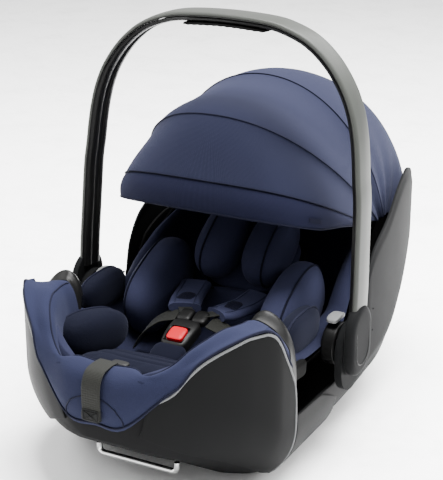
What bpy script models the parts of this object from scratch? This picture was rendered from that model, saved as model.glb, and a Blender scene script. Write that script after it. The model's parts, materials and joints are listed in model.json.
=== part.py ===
"""Rear-facing infant carrier: rocker shell, swinging carry handle, folding canopy and three-point harness.

Metres, +Z up, X across, the foot end at -Y and the head end at +Y. The origin is on the ground, in the
symmetry plane, under the plane of the upright carry handle. The right side is +X.
"""
import math

import bmesh
import bpy
from mathutils import Matrix, Vector

# ---- overall sizes
BODY_LENGTH = 0.677        # hull, nose to head end
BODY_WIDTH = 0.380         # hull over the side panels
BODY_HEIGHT = 0.235        # ground to the top of the front side panels
DRAWN = Vector((0.380, 0.677, 0.235))   # width, length and height that the outlines below are drawn at

# ---- walls and clearances
GAP = 0.0006               # between touching pieces
PANEL_WALL = 0.0026        # outer side panels
HULL_INSET = 0.0052        # tub's outer face behind the face of the panels
TUB_WALL = 0.004
SEAT_INSET = 0.028         # inner seat shell behind the face of the panels
SEAT_WALL = 0.003
DOCKING_BAR_RADIUS = 0.004
DOCKING_BAR_LENGTH = 0.116
DOCKING_BAR_DROP = 0.014   # bar's centre line below the top of its legs
FOAM_WALL = 0.008
LINED_HALF = BODY_WIDTH / 2 - SEAT_INSET - SEAT_WALL - FOAM_WALL    # half width inside the foam

# ---- handle
PIVOT = Vector((0.0, -0.010, 0.148))    # axis of the carry handle, along X
HANDLE_TOP = 0.560         # centre line of the grip above the ground
HANDLE_SPAN = BODY_WIDTH + 0.036        # between the arm centre lines at the hubs
HANDLE_LEAN = math.radians(5.0)         # of the upright handle towards the head end
ARM_START = 0.042          # lower end of the arms above the pivot
ARM_DEPTH = 0.040          # along Y
ARM_THICK = 0.013
GRIP_HALF = 0.062
AXLE_RADIUS = 0.006
AXLE_PLAY = 0.0001
HUB_RADIUS = 0.035
HUB_WALL = 0.012
COVER_WALL = 0.013
KNUCKLE_RADIUS = 0.029
KNUCKLE_WIDTH = 0.020
BUTTON_TRAVEL = 0.004

# ---- canopy
CANOPY_PIVOT = Vector((0.0, 0.180 * BODY_LENGTH / DRAWN.y, 0.240))
CANOPY_HALF = BODY_WIDTH / 2 - 0.020    # half width over the cloth
CANOPY_CLOTH = 0.0022
HOOP_RADIUS = 0.0028

# ---- harness
WEB_WIDTH = 0.026
WEB_THICK = 0.0022
BUCKLE_WIDTH = 0.044
BUCKLE_LENGTH = 0.054
BUCKLE_THICK = 0.020
BUTTON_SIDE = 0.025
BUTTON_PLAY = 0.0005

# ---- outlines, drawn at DRAWN size: (along Y, value)
PLAN = [(-0.305, 0.061), (-0.290, 0.095), (-0.260, 0.135), (-0.220, 0.168), (-0.180, 0.186), (-0.140, 0.190),
        (0.0, 0.190), (0.100, 0.187), (0.200, 0.180), (0.300, 0.163), (0.345, 0.142), (0.372, 0.115)]
KEEL = [(-0.305, 0.100), (-0.288, 0.084), (-0.270, 0.071), (-0.235, 0.052), (-0.200, 0.030), (-0.165, 0.007),
        (-0.145, 0.0), (0.110, 0.0),
        (0.170, 0.014), (0.220, 0.042), (0.270, 0.082), (0.320, 0.132), (0.355, 0.180), (0.372, 0.215)]
CREST = [(-0.305, 0.149), (-0.299, 0.160), (-0.289, 0.176), (-0.281, 0.194), (-0.272, 0.208), (-0.264, 0.216),
         (-0.244, 0.228), (-0.224, 0.235), (-0.208, 0.235), (-0.196, 0.229), (-0.188, 0.218), (-0.176, 0.194),
         (-0.165, 0.173), (-0.154, 0.146), (-0.151, 0.120)]
TUB_RIM = [(-0.305, 0.158), (-0.280, 0.170), (-0.240, 0.205), (-0.210, 0.214), (-0.190, 0.190), (-0.170, 0.140),
           (-0.150, 0.098), (-0.020, 0.096), (0.030, 0.104), (0.070, 0.150), (0.100, 0.205), (0.160, 0.228),
           (0.220, 0.234), (0.290, 0.236), (0.340, 0.240), (0.372, 0.246)]
REAR_PANEL_TOP = [(-0.149, 0.105), (-0.080, 0.102), (-0.055, 0.092), (-0.022, 0.076)]
WING_TOP = [(0.034, 0.100), (0.046, 0.122), (0.058, 0.156), (0.068, 0.200), (0.099, 0.242), (0.158, 0.271),
            (0.212, 0.306), (0.250, 0.317), (0.285, 0.308), (0.315, 0.285), (0.338, 0.256), (0.346, 0.232)]
WING_BOTTOM = [(0.034, 0.066), (0.150, 0.068), (0.195, 0.076), (0.230, 0.104), (0.285, 0.134), (0.330, 0.176),
               (0.346, 0.200)]
SEAT_FLOOR = [(-0.288, 0.158), (-0.250, 0.138), (-0.200, 0.118), (-0.120, 0.098), (-0.040, 0.080), (0.030, 0.076),
              (0.100, 0.112), (0.200, 0.180), (0.290, 0.240), (0.340, 0.272)]
SEAT_RIM = [(-0.288, 0.166), (-0.240, 0.196), (-0.205, 0.204), (-0.170, 0.166), (-0.140, 0.122), (-0.060, 0.120),
            (0.030, 0.132), (0.070, 0.172), (0.100, 0.212), (0.160, 0.246), (0.220, 0.278), (0.290, 0.290),
            (0.340, 0.286)]

MATERIALS = {
    "tub_plastic": ((0.020, 0.020, 0.021), 0.55, 0.0),
    "panel_plastic": ((0.045, 0.046, 0.048), 0.45, 0.0),
    "wing_plastic": ((0.130, 0.134, 0.136), 0.42, 0.0),
    "handle_plastic": ((0.150, 0.158, 0.142), 0.35, 0.0),
    "black_plastic": ((0.012, 0.012, 0.012), 0.40, 0.0),
    "button_plastic": ((0.330, 0.335, 0.335), 0.40, 0.0),
    "grip_rubber": ((0.018, 0.018, 0.018), 0.75, 0.0),
    "foam": ((0.080, 0.080, 0.085), 0.90, 0.0),
    "navy_cover": ((0.034, 0.038, 0.085), 0.85, 0.0),
    "navy_padding": ((0.022, 0.024, 0.050), 0.88, 0.0),
    "canopy_cloth": ((0.060, 0.064, 0.120), 0.80, 0.0),
    "webbing": ((0.028, 0.029, 0.024), 0.70, 0.0),
    "red_button": ((0.800, 0.060, 0.070), 0.35, 0.0),
    "steel": ((0.620, 0.620, 0.620), 0.22, 1.0),
}


# ---------------------------------------------------------------- helpers
def smooth(points, x):
    """Value at x of a smooth curve through (x, value) points, with no overshoot."""
    if x <= points[0][0]:
        return points[0][1]
    if x >= points[-1][0]:
        return points[-1][1]
    slopes = [(b[1] - a[1]) / (b[0] - a[0]) for a, b in zip(points, points[1:])]
    index = next(i for i in range(len(slopes)) if x <= points[i + 1][0])

    def tangent(i):
        if i == 0 or i == len(slopes):
            return slopes[0] if i == 0 else slopes[-1]
        before, after = slopes[i - 1], slopes[i]
        return 0.0 if before * after <= 0 else 2 * before * after / (before + after)

    (x0, v0), (x1, v1) = points[index], points[index + 1]
    span = x1 - x0
    t = (x - x0) / span
    return ((2 * t ** 3 - 3 * t ** 2 + 1) * v0 + (t ** 3 - 2 * t ** 2 + t) * span * tangent(index)
            + (3 * t ** 2 - 2 * t ** 3) * v1 + (t ** 3 - t ** 2) * span * tangent(index + 1))


def drawn(points, y, size):
    """Outline value at a real y: the outline is stretched to the body's length and to size along its value."""
    axis, real = size
    return smooth(points, y * DRAWN.y / BODY_LENGTH) * real / DRAWN[axis]


def plan(y):
    return drawn(PLAN, y, (0, BODY_WIDTH))


def height(points, y):
    return drawn(points, y, (2, BODY_HEIGHT))


def at(y):
    """Real place along the body of a y on the drawn outlines."""
    return y * BODY_LENGTH / DRAWN.y


BACK_FACE = at(KEEL[-1][0]) + 0.006    # outer face of the back panel
ROUND = 0.090              # height over which the hull's side turns under
FLAT_SHARE = 0.56          # flat bottom's share of the hull's width
STEEPEST = 3.5             # most that an inset grows where the hull turns away
PANEL_LIFT = 0.015         # lower edge of the side panels above the keel


def hull_face(y, z):
    """Half width of the hull's outer face at a place along it and a height."""
    lift = max(0.0, z - height(KEEL, y))
    fall = max(0.0, 1.0 - lift / ROUND)
    return plan(y) * (FLAT_SHARE + (1 - FLAT_SHARE) * math.sqrt(1 - fall * fall))


def hull_half(y, z, inset=0.0):
    """Half width of the hull, drawn in by inset square to its face."""
    here, near = hull_face(y, z), 0.002
    if not inset:
        return here
    slope_y = (hull_face(y + near, z) - hull_face(y - near, z)) / (2 * near)
    slope_z = (hull_face(y, z + near) - here) / near
    return here - inset * min(math.sqrt(1 + slope_y ** 2 + slope_z ** 2), STEEPEST)


def material(name):
    found = bpy.data.materials.get(name)
    if found:
        return found
    colour, roughness, metallic = MATERIALS[name]
    made = bpy.data.materials.new(name)
    made.use_nodes = True
    shader = made.node_tree.nodes["Principled BSDF"]
    shader.inputs["Base Color"].default_value = (*colour, 1.0)
    shader.inputs["Roughness"].default_value = roughness
    shader.inputs["Metallic"].default_value = metallic
    made.diffuse_color = (*colour, 1.0)
    return made


def make_object(name, bm, material_name, origin=(0, 0, 0)):
    """Object from a bmesh in world space, its origin moved to the given point."""
    bmesh.ops.remove_doubles(bm, verts=bm.verts, dist=1e-6)
    bmesh.ops.recalc_face_normals(bm, faces=bm.faces)
    if bm.calc_volume(signed=True) < 0:
        bmesh.ops.reverse_faces(bm, faces=bm.faces)
    bmesh.ops.translate(bm, verts=bm.verts, vec=-Vector(origin))
    mesh = bpy.data.meshes.new(name)
    bm.to_mesh(mesh)
    bm.free()
    mesh.materials.append(material(material_name))
    mesh.shade_smooth()
    mesh.set_sharp_from_angle(angle=math.radians(40))
    made = bpy.data.objects.new(name, mesh)
    made.location = origin
    bpy.context.scene.collection.objects.link(made)
    return made


def bridge_rings(bm, rings, closed=False):
    """Quads between rings of equal length; the rings are closed loops of vertices."""
    pairs = list(zip(rings, rings[1:]))
    if closed:
        pairs.append((rings[-1], rings[0]))
    for low, high in pairs:
        count = len(low)
        for i in range(count):
            bm.faces.new((low[i], low[(i + 1) % count], high[(i + 1) % count], high[i]))


def loft(name, rings, material_name, origin=(0, 0, 0)):
    """Closed body through rings of points, capped at both ends."""
    bm = bmesh.new()
    made = [[bm.verts.new(point) for point in ring] for ring in rings]
    bridge_rings(bm, made)
    bm.faces.new(made[0])
    bm.faces.new(made[-1])
    return make_object(name, bm, material_name, origin)


def thick_sheet(name, rows, wall, material_name, origin=(0, 0, 0), side=1):
    """Closed body from a grid of surface points: a sheet with its wall on one side of the surface."""
    count, width = len(rows), len(rows[0])
    points = [[Vector(p) for p in row] for row in rows]

    def normal(i, j):
        along = points[min(i + 1, count - 1)][j] - points[max(i - 1, 0)][j]
        across = points[i][min(j + 1, width - 1)] - points[i][max(j - 1, 0)]
        return along.cross(across).normalized()

    bm = bmesh.new()
    outer = [[bm.verts.new(p) for p in row] for row in points]
    inner = [[bm.verts.new(points[i][j] - normal(i, j) * wall * side) for j in range(width)]
             for i in range(count)]
    rings = []
    for i in range(count):
        rings.append(outer[i] + inner[i][::-1])
    bridge_rings(bm, rings)
    for end in (0, count - 1):
        for j in range(width - 1):
            bm.faces.new((outer[end][j], outer[end][j + 1], inner[end][j + 1], inner[end][j]))
    return make_object(name, bm, material_name, origin)


def rounded_rectangle(half_a, half_b, radius, steps=3):
    """Corner-rounded outline as (a, b) pairs, anticlockwise."""
    points = []
    for quarter in range(4):
        centre_a = (half_a - radius) * (1 if quarter in (0, 3) else -1)
        centre_b = (half_b - radius) * (1 if quarter in (0, 1) else -1)
        for step in range(steps + 1):
            angle = math.radians(90) * (quarter + step / steps)
            points.append((centre_a + radius * math.cos(angle), centre_b + radius * math.sin(angle)))
    return points


def block(name, centre, half, radius, material_name, tilt=0.0, axis="z", crown=0.35, origin=(0, 0, 0)):
    """Rounded block: its outline lies square to the axis and its two end faces are eased inwards."""
    order = {"x": (1, 2, 0), "y": (2, 0, 1), "z": (0, 1, 2)}[axis]
    half_a, half_b, half_c = (half[i] for i in order)
    ease = min(radius, half_c) * crown
    turned = Matrix.Rotation(tilt, 3, "X")
    rings = []
    for level, inset in ((-half_c, ease), (-half_c + ease, 0.0), (half_c - ease, 0.0), (half_c, ease)):
        ring = []
        for a, b in rounded_rectangle(half_a - inset, half_b - inset, max(radius - inset, 0.0006)):
            local = [0.0, 0.0, 0.0]
            local[order[0]], local[order[1]], local[order[2]] = a, b, level
            ring.append(Vector(centre) + turned @ Vector(local))
        rings.append(ring)
    return loft(name, rings, material_name, origin)


def cushion(name, centre, half, material_name, tilt=0.0, power=2.6, across=16, up=8):
    """Closed pillow: a superellipsoid of the given half sizes."""
    turned = Matrix.Rotation(tilt, 3, "X")
    centre = Vector(centre)

    def curve(value):
        return math.copysign(abs(value) ** (2 / power), value)

    bm = bmesh.new()
    rings = []
    for i in range(1, up):
        lift = math.pi * (i / up - 0.5)
        ring = []
        for j in range(across):
            around = 2 * math.pi * j / across
            local = Vector((half[0] * curve(math.cos(lift)) * curve(math.cos(around)),
                            half[1] * curve(math.cos(lift)) * curve(math.sin(around)),
                            half[2] * curve(math.sin(lift))))
            ring.append(bm.verts.new(centre + turned @ local))
        rings.append(ring)
    bridge_rings(bm, rings)
    for ring, end in ((rings[0], -1), (rings[-1], 1)):
        pole = bm.verts.new(centre + turned @ Vector((0, 0, end * half[2])))
        for j in range(across):
            bm.faces.new((ring[j], ring[(j + 1) % across], pole))
    return make_object(name, bm, material_name)


def spline(points, per_span=4):
    """Points on a smooth curve through the given ones."""
    points = [Vector(p) for p in points]
    padded = [points[0] * 2 - points[1]] + points + [points[-1] * 2 - points[-2]]
    made = []
    for i in range(1, len(padded) - 2):
        a, b, c, d = padded[i - 1:i + 3]
        for step in range(per_span):
            t = step / per_span
            made.append(0.5 * ((2 * b) + (c - a) * t + (2 * a - 5 * b + 4 * c - d) * t * t
                               + (3 * b - a - 3 * c + d) * t ** 3))
    made.append(points[-1])
    return made


def sweep(name, path, section, side, material_name, origin=(0, 0, 0)):
    """Section swept along a path. Its first axis lies along side, its second square to path and side."""
    rings = []
    side = Vector(side)
    for i, point in enumerate(path):
        ahead = (path[min(i + 1, len(path) - 1)] - path[max(i - 1, 0)]).normalized()
        first = (side - ahead * side.dot(ahead)).normalized()
        second = ahead.cross(first)
        rings.append([point + first * a + second * b for a, b in section])
    return loft(name, rings, material_name, origin)


def webbing(name, path, side, width=WEB_WIDTH, thick=WEB_THICK, material_name="webbing"):
    """Flat strap along a path, its width along side."""
    section = [(-width / 2, -thick / 2), (width / 2, -thick / 2), (width / 2, thick / 2), (-width / 2, thick / 2)]
    return sweep(name, path, section, side, material_name)


def rod(name, path, radius, material_name, origin=(0, 0, 0), resolution=2):
    """Round bar: a curve with a bevel and filled caps."""
    data = bpy.data.curves.new(name, "CURVE")
    data.dimensions = "3D"
    data.bevel_depth = radius
    data.bevel_resolution = resolution
    data.use_fill_caps = True
    line = data.splines.new("POLY")
    line.points.add(len(path) - 1)
    for target, point in zip(line.points, path):
        target.co = (*(Vector(point) - Vector(origin)), 1.0)
    data.materials.append(material(material_name))
    made = bpy.data.objects.new(name, data)
    made.location = origin
    bpy.context.scene.collection.objects.link(made)
    return made


def disc(name, outline, x_low, x_high, material_name, origin=(0, 0, 0), ease=0.0012):
    """Plate square to X from an outline of (y, z) pairs, its outer edges eased."""
    middle = Vector((0, sum(p[0] for p in outline) / len(outline), sum(p[1] for p in outline) / len(outline)))
    rings = []
    for x, inset in ((x_low, ease), (x_low + ease, 0), (x_high - ease, 0), (x_high, ease)):
        ring = []
        for y, z in outline:
            out = Vector((0, y, z)) - middle
            place = middle + out * (1 - inset / out.length)
            ring.append(Vector((x, place.y, place.z)))
        rings.append(ring)
    return loft(name, rings, material_name, origin)


def cut(target, cutter):
    """Subtract a cutter, which stays as a hidden guide."""
    cutter.hide_render = True
    cutter.display_type = "WIRE"
    cutting = target.modifiers.new("cut_" + cutter.name, "BOOLEAN")
    cutting.operation = "DIFFERENCE"
    cutting.solver = "EXACT"
    cutting.object = cutter
    return target


def sides():
    """Name and sign of each side."""
    return (("left", -1), ("right", 1))


def steps(low, high, count):
    return [low + (high - low) * i / (count - 1) for i in range(count)]


# ---------------------------------------------------------------- shell
def section_row(y, low, high, inset, points=9, square=True):
    """U-shaped row across the hull, from the left rim under the floor to the right rim.

    The inset is square to the hull's face, or else level, for the seat's layers.
    """
    half_row = []
    for i in range(points):
        share = i / (points - 1)
        z = low + (high - low) * share ** 1.7
        level = height(KEEL, y) + (z - low)
        half_row.append((z, hull_half(y, level, inset) if square else hull_face(y, level) - inset))
    left = [(-half, y, z) for z, half in reversed(half_row)]
    middle = [(0.0, y, low)]
    right = [(half, y, z) for z, half in half_row]
    return left + middle + right


def build_tub():
    """Outer tub: a U-section shell from the nose to the head end, with a flat bottom to stand on."""
    nose = height(KEEL, at(PLAN[0][0]))
    first = at(PLAN[0][0]) + HULL_INSET
    rows = []
    for lift in (0.86, 0.45):
        rim = height(TUB_RIM, first)
        rows.append(section_row(first, nose + (rim - nose) * lift, rim, HULL_INSET))
    for y in steps(first, at(KEEL[-1][0]), 30):
        rows.append(section_row(y, height(KEEL, y), height(TUB_RIM, y), HULL_INSET))
    thick_sheet("base_tub", rows, TUB_WALL, "tub_plastic")


def trough(name, low_y, high_y, inset, lift, drop, wall, material_name, count=22):
    """Inner seat layer: a U section over the seat floor, between two places along the body."""
    rows = []
    for y in steps(at(low_y), at(high_y), count):
        low = height(SEAT_FLOOR, y) + lift
        high = max(height(SEAT_RIM, y) - drop, low + 0.004)
        rows.append(section_row(y, low, high, inset, points=7, square=False))
    return thick_sheet(name, rows, wall, material_name)


def side_sheet(name, sign, places, bottom, top, material_name, rows=8):
    """Skin on the hull's side between a bottom and a top outline."""
    grid = []
    for y in places:
        low = bottom(y)
        high = max(top(y), low + 0.006)
        grid.append([(sign * hull_half(y, z), y, z) for z in steps(low, high, rows)])
    return thick_sheet(name, grid, PANEL_WALL, material_name, side=sign)


def build_panels():
    """Front cheeks, lower rear sides and the tall wings beside the head."""
    front_places = [at(y) for y in (-0.3030, -0.2985, -0.292, -0.284, -0.275, -0.264, -0.250, -0.236, -0.222,
                                    -0.210, -0.200, -0.192, -0.184, -0.175, -0.166, -0.158, -0.152)]
    rear_places = [at(y) for y in (-0.1485, -0.120, -0.095, -0.075, -0.055, -0.038, -0.022)]
    wing_places = [at(y) for y in (0.034, 0.044, 0.053, 0.062, 0.072, 0.086, 0.110, 0.140, 0.170, 0.200, 0.225,
                                   0.250, 0.272, 0.293, 0.312, 0.330, 0.344)]
    for side, sign in sides():
        side_sheet("front_side_panel_" + side, sign, front_places, lambda y: height(KEEL, y) + PANEL_LIFT,
                   lambda y: height(CREST, y), "panel_plastic")
        side_sheet("rear_side_panel_" + side, sign, rear_places, lambda y: PANEL_LIFT,
                   lambda y: height(REAR_PANEL_TOP, y), "panel_plastic", rows=6)
        side_sheet("wing_panel_" + side, sign, wing_places, lambda y: height(WING_BOTTOM, y),
                   lambda y: height(WING_TOP, y), "wing_plastic")


def build_back_panel():
    """Curved skin over the head end, between the wings."""
    half = plan(at(KEEL[-1][0])) - 0.006
    rows = []
    for z in steps(0.192, 0.288, 5):
        rows.append([(x, BACK_FACE - 0.003 * (x / half) ** 2, z * BODY_HEIGHT / DRAWN.z)
                     for x in steps(-half, half, 9)])
    thick_sheet("back_panel", rows, PANEL_WALL, "wing_plastic")


def build_docking_bar():
    """Steel bar under the nose, on two short legs, that locks onto a car base."""
    y, bend = at(-0.222), 0.005
    half = DOCKING_BAR_LENGTH / 2
    top = height(KEEL, y) - 0.003
    low = top - DOCKING_BAR_DROP
    right = [(half - bend, y, low), (half - bend * 0.3, y, low + bend * 0.3), (half, y, low + bend), (half, y, top)]
    left = [(-x, y, z) for x, y, z in reversed(right)]
    rod("docking_bar", left + right, DOCKING_BAR_RADIUS, "steel", resolution=3)


# ---------------------------------------------------------------- handle
def on_handle(x, up):
    """Point of the handle's plane, which leans back about the pivot, by its height above the pivot."""
    return Vector((x, PIVOT.y + up * math.tan(HANDLE_LEAN), PIVOT.z + up))


def handle_path():
    """Centre line of the handle from the right hub over the grip to the left hub."""
    half, top = HANDLE_SPAN / 2, HANDLE_TOP - PIVOT.z
    right = [(half, ARM_START), (half - 0.0005, 0.082), (half - 0.0020, 0.122), (half - 0.0045, 0.190),
             (half - 0.0080, top - 0.190), (half - 0.0110, top - 0.160), (half - 0.0150, top - 0.133),
             (half - 0.0220, top - 0.105), (half - 0.0350, top - 0.076), (half - 0.0570, top - 0.046),
             (half - 0.0850, top - 0.0225), (half - 0.1160, top - 0.0090), (half - 0.1480, top - 0.0025)]
    left = [(-x, up) for x, up in reversed(right)]
    return spline([on_handle(x, up) for x, up in right + [(0.0, top)] + left], 3)


def handle_section(inner):
    """Half of the handle's section: the rounded outer shell, or the channel that closes it inside."""
    depth, thick = ARM_DEPTH / 2, ARM_THICK / 2
    if inner:
        return [(-depth + 0.001, -GAP / 2), (-depth + 0.002, -thick * 0.6), (-depth + 0.006, -thick),
                (depth - 0.006, -thick), (depth - 0.002, -thick * 0.6), (depth - 0.001, -GAP / 2)]
    return [(depth, GAP / 2), (depth, thick * 0.45), (depth - 0.005, thick), (-depth + 0.005, thick),
            (-depth, thick * 0.45), (-depth, GAP / 2)]


def build_handle():
    """Carry handle: outer shell, the channel that closes it inside and the grip under its top."""
    path = handle_path()
    # the path runs from right to left, so the second axis of its section points out of the arch
    sweep("handle_shell", path, handle_section(False), (0, -1, 0), "handle_plastic", PIVOT)
    sweep("handle_channel", path, handle_section(True), (0, -1, 0), "black_plastic", PIVOT)
    grip = [(a * 0.94, b) for a, b in rounded_rectangle(ARM_DEPTH / 2, 0.002, 0.0019, 2)]
    lowered = HANDLE_TOP - PIVOT.z - ARM_THICK / 2 - 0.0026
    middle = [on_handle(x, lowered - 0.0034 * (x / GRIP_HALF) ** 2) for x in steps(-GRIP_HALF, GRIP_HALF, 13)]
    sweep("handle_grip", middle, grip, (0, -1, 0), "grip_rubber", PIVOT)


def hub_outline(radius, reach_up, reach_down, count=10):
    """Capsule outline round the pivot: straight sides, round ends."""
    points = []
    for i in range(count + 1):
        angle = math.pi * i / count
        points.append((PIVOT.y + radius * math.cos(angle), PIVOT.z + reach_up + radius * math.sin(angle)))
    for i in range(count + 1):
        angle = math.pi * (1 + i / count)
        points.append((PIVOT.y + radius * math.cos(angle), PIVOT.z - reach_down + radius * math.sin(angle)))
    return points


def circle(radius, count=24):
    turns = [2 * math.pi * i / count for i in range(count)]
    return [(PIVOT.y + radius * math.cos(turn), PIVOT.z + radius * math.sin(turn)) for turn in turns]


def build_hubs():
    """On each side, from inside out: turning knuckle, fixed hub plate with the axle's bore, turning cover."""
    face = BODY_WIDTH / 2 + 0.0025
    for side, sign in sides():
        hub = disc("hub_plate_" + side, hub_outline(HUB_RADIUS, 0.0, 0.026), sign * face, sign * (face + HUB_WALL),
                   "wing_plastic", ease=0.0012 * sign)
        bore = disc("bore_" + side, circle(AXLE_RADIUS + AXLE_PLAY), sign * (face - 0.01),
                    sign * (face + HUB_WALL + 0.01), "steel", ease=0.0)
        cut(hub, bore)
        inner_end = face - GAP - 0.0019
        disc("handle_axle_" + side, circle(AXLE_RADIUS), sign * inner_end, sign * (face + HUB_WALL + GAP / 2),
             "steel", PIVOT, ease=0.0004 * sign)
        disc("handle_knuckle_" + side, circle(KNUCKLE_RADIUS), sign * (inner_end - GAP - KNUCKLE_WIDTH),
             sign * (inner_end - GAP), "black_plastic", PIVOT, ease=0.0015 * sign)
        low = face + HUB_WALL + 2 * GAP
        cover = disc("handle_hub_cover_" + side, hub_outline(HUB_RADIUS - 0.002, 0.026, 0.006), sign * low,
                     sign * (low + COVER_WALL), "wing_plastic", PIVOT, ease=0.003 * sign)
        clear = block("arm_seat_" + side, on_handle(sign * HANDLE_SPAN / 2, ARM_START + 0.020),
                      (ARM_THICK / 2 + 0.0005, ARM_DEPTH / 2 + 0.0005, 0.0207), 0.001, "steel", tilt=-HANDLE_LEAN)
        cut(cover, clear)
        middle = inner_end - GAP - KNUCKLE_WIDTH / 2
        button_height = PIVOT.z + KNUCKLE_RADIUS + 0.0042 + BUTTON_TRAVEL
        block("handle_button_" + side, (sign * middle, PIVOT.y, button_height),
              (KNUCKLE_WIDTH / 2 - 0.002, 0.013, 0.0035), 0.003, "button_plastic")


# ---------------------------------------------------------------- canopy
HOOP_ANGLES = {"visor": 27.0, "front": 45.0, "middle": 78.0, "rear": 107.0, "back": 158.0}
CANOPY_REACH = [(15.0, 0.248), (27.0, 0.260), (45.0, 0.280), (60.0, 0.252), (78.0, 0.226), (107.0, 0.220),
                (130.0, 0.223), (158.0, 0.214)]
CANOPY_POWER = [(15.0, 4.2), (27.0, 3.6), (45.0, 2.2), (78.0, 2.05), (107.0, 2.1), (158.0, 2.6)]


def hoop_point(angle, share, out=0.0, turn=0.0):
    """Point of the canopy surface: angle above the foot direction, share -1 to 1 from left to right end."""
    reach = smooth(CANOPY_REACH, angle) + out
    power = smooth(CANOPY_POWER, angle)
    swing = share * math.pi / 2
    x = (CANOPY_HALF + out) * math.copysign(abs(math.sin(swing)) ** (2 / power), swing)
    radius = reach * abs(math.cos(swing)) ** (2 / power)
    lift = math.radians(angle + turn)
    return CANOPY_PIVOT + Vector((x, -radius * math.cos(lift), radius * math.sin(lift)))


HOOP_END = 0.93            # share of the quarter turn where cloth and hoops end, short of the pivot


def build_canopy():
    """Three turning hoops and the cloth between them, the visor in front and the cloth behind on the shell."""
    shares = steps(-HOOP_END, HOOP_END, 25)
    for name in ("visor", "front", "middle"):
        angle = HOOP_ANGLES[name]
        path = [hoop_point(angle, s, -CANOPY_CLOTH - HOOP_RADIUS - 0.0012) for s in shares]
        rod("canopy_hoop_" + name, path, HOOP_RADIUS, "black_plastic", CANOPY_PIVOT, resolution=1)
    spans = (("canopy_visor", 18.0, 26.4, 3), ("canopy_front_panel", 27.2, 44.6, 4),
             ("canopy_middle_panel", 45.4, 77.6, 6), ("canopy_rear_panel", 78.4, HOOP_ANGLES["back"], 9))
    for name, low, high, count in spans:
        rows = [[hoop_point(angle, s) for s in shares] for angle in steps(low, high, count)]
        thick_sheet(name, rows, CANOPY_CLOTH, "canopy_cloth", CANOPY_PIVOT, side=1)


# ---------------------------------------------------------------- covers and cushions
COVER_TOP = [(-0.305, 0.189), (-0.289, 0.196), (-0.270, 0.209), (-0.244, 0.224), (-0.217, 0.232), (-0.190, 0.235),
             (-0.177, 0.234), (-0.162, 0.229)]
COVER_REACH = [(-0.305, -0.012), (-0.275, -0.002), (-0.240, 0.006), (-0.200, 0.016), (-0.162, 0.022)]


def rim_frame(y):
    """Point on the hull's plan at a place along it, and the level direction inwards, on the right side."""
    ahead = Vector((plan(y - 0.002) - plan(y), -0.002, 0)).normalized()
    inward = Vector((ahead.y, -ahead.x, 0))
    return Vector((plan(y), y, 0)), inward if inward.x < 0 else -inward


def build_cover():
    """Padded cover over the front rim: from the panel's edge over the crest and down inside, round the nose."""
    half_rows = []
    for y in (-0.162, -0.176, -0.190, -0.204, -0.222, -0.242, -0.260, -0.275, -0.288, -0.297):
        foot, inward = rim_frame(at(y))
        edge = height(CREST, at(y))
        top = max(height(COVER_TOP, at(y)), edge + 0.002)
        reach = SEAT_INSET + smooth(COVER_REACH, y)
        bulge = 0.011 * max(0.0, min(1.0, (-0.275 - y) / 0.03))
        profile = [(0.0015 - bulge, edge + 0.0052 + 0.3 * bulge), (0.004 - bulge, edge + 0.4 * (top - edge) + 0.004),
                   (0.5 * reach, edge + 0.85 * (top - edge)), (reach, top), (reach + 0.011, top - 0.010),
                   (reach + 0.017, top - 0.028)]
        half_rows.append([foot + inward * d + Vector((0, 0, z)) for d, z in profile])
    lip = [(-0.010, 0.122), (-0.014, 0.150), (-0.008, 0.180), (0.010, 0.190), (0.026, 0.184), (0.034, 0.168)]
    front_rows = []
    for x in (0.058, 0.030, 0.0, -0.030, -0.058):
        rise = 0.004 * (x / 0.058) ** 2
        front_rows.append([Vector((x, at(PLAN[0][0]) + d + rise, z * BODY_HEIGHT / DRAWN.z + rise))
                           for d, z in lip])
    left_rows = [[Vector((-p.x, p.y, p.z)) for p in row] for row in reversed(half_rows)]
    thick_sheet("front_rim_cover", half_rows + front_rows + left_rows, 0.003, "navy_cover", side=-1)


def build_trim():
    """Black binding that holds the cover's ends over the rear edge of each front panel."""
    outline = [(0.058, 0.222), (0.048, 0.238), (0.034, 0.236), (0.019, 0.222), (0.008, 0.198), (0.003, 0.170),
               (0.002, 0.150)]
    y = at(-0.1435)
    for side, sign in sides():
        path = [Vector((sign * (plan(y) - d), y, z * BODY_HEIGHT / DRAWN.z)) for d, z in outline]
        webbing("trim_band_" + side, spline(path, 2), (0, 1, 0), 0.010, 0.003, "black_plastic")


def build_cushions():
    """Padding that lines the seat: seat, back, body sides and the rests beside the hubs."""
    for side, sign in sides():
        cushion("side_bolster_" + side, (sign * (LINED_HALF - 0.047), at(0.014), 0.168), (0.031, 0.078, 0.050),
                "navy_cover", tilt=math.radians(24))
        block("armrest_" + side, (sign * (BODY_WIDTH / 2 - 0.033), at(-0.086), 0.178), (0.016, 0.030, 0.016),
              0.012, "navy_cover", crown=0.6)
        block("belt_guide_" + side, (sign * (BODY_WIDTH / 2 - 0.029), at(-0.108), 0.144), (0.013, 0.026, 0.012),
              0.008, "black_plastic", tilt=math.radians(-8))
    front, rear = at(PLAN[0][0]) + 0.0575, at(-0.147)
    cushion("seat_cushion", (0, (front + rear) / 2, 0.141), (LINED_HALF - 0.060, (rear - front) / 2, 0.015),
            "navy_padding", tilt=math.radians(-17))
    cushion("back_cushion", (0, at(0.020), 0.125), (LINED_HALF - 0.086, at(0.050), 0.012), "navy_padding",
            tilt=math.radians(33))


# ---------------------------------------------------------------- headrest
BACK_ANGLE = math.atan(0.7002 * DRAWN.y / BODY_LENGTH)
HEADREST = Vector((0.0, at(0.092), 0.215))     # middle of the headrest's padding
HEADREST_WIDTH = 0.160
HEADREST_LENGTH = at(0.104)
HEADREST_DEPTH = 0.040     # shell behind the middle of the padding
HEADREST_LOBE = 0.035      # half width of each padded side


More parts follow.
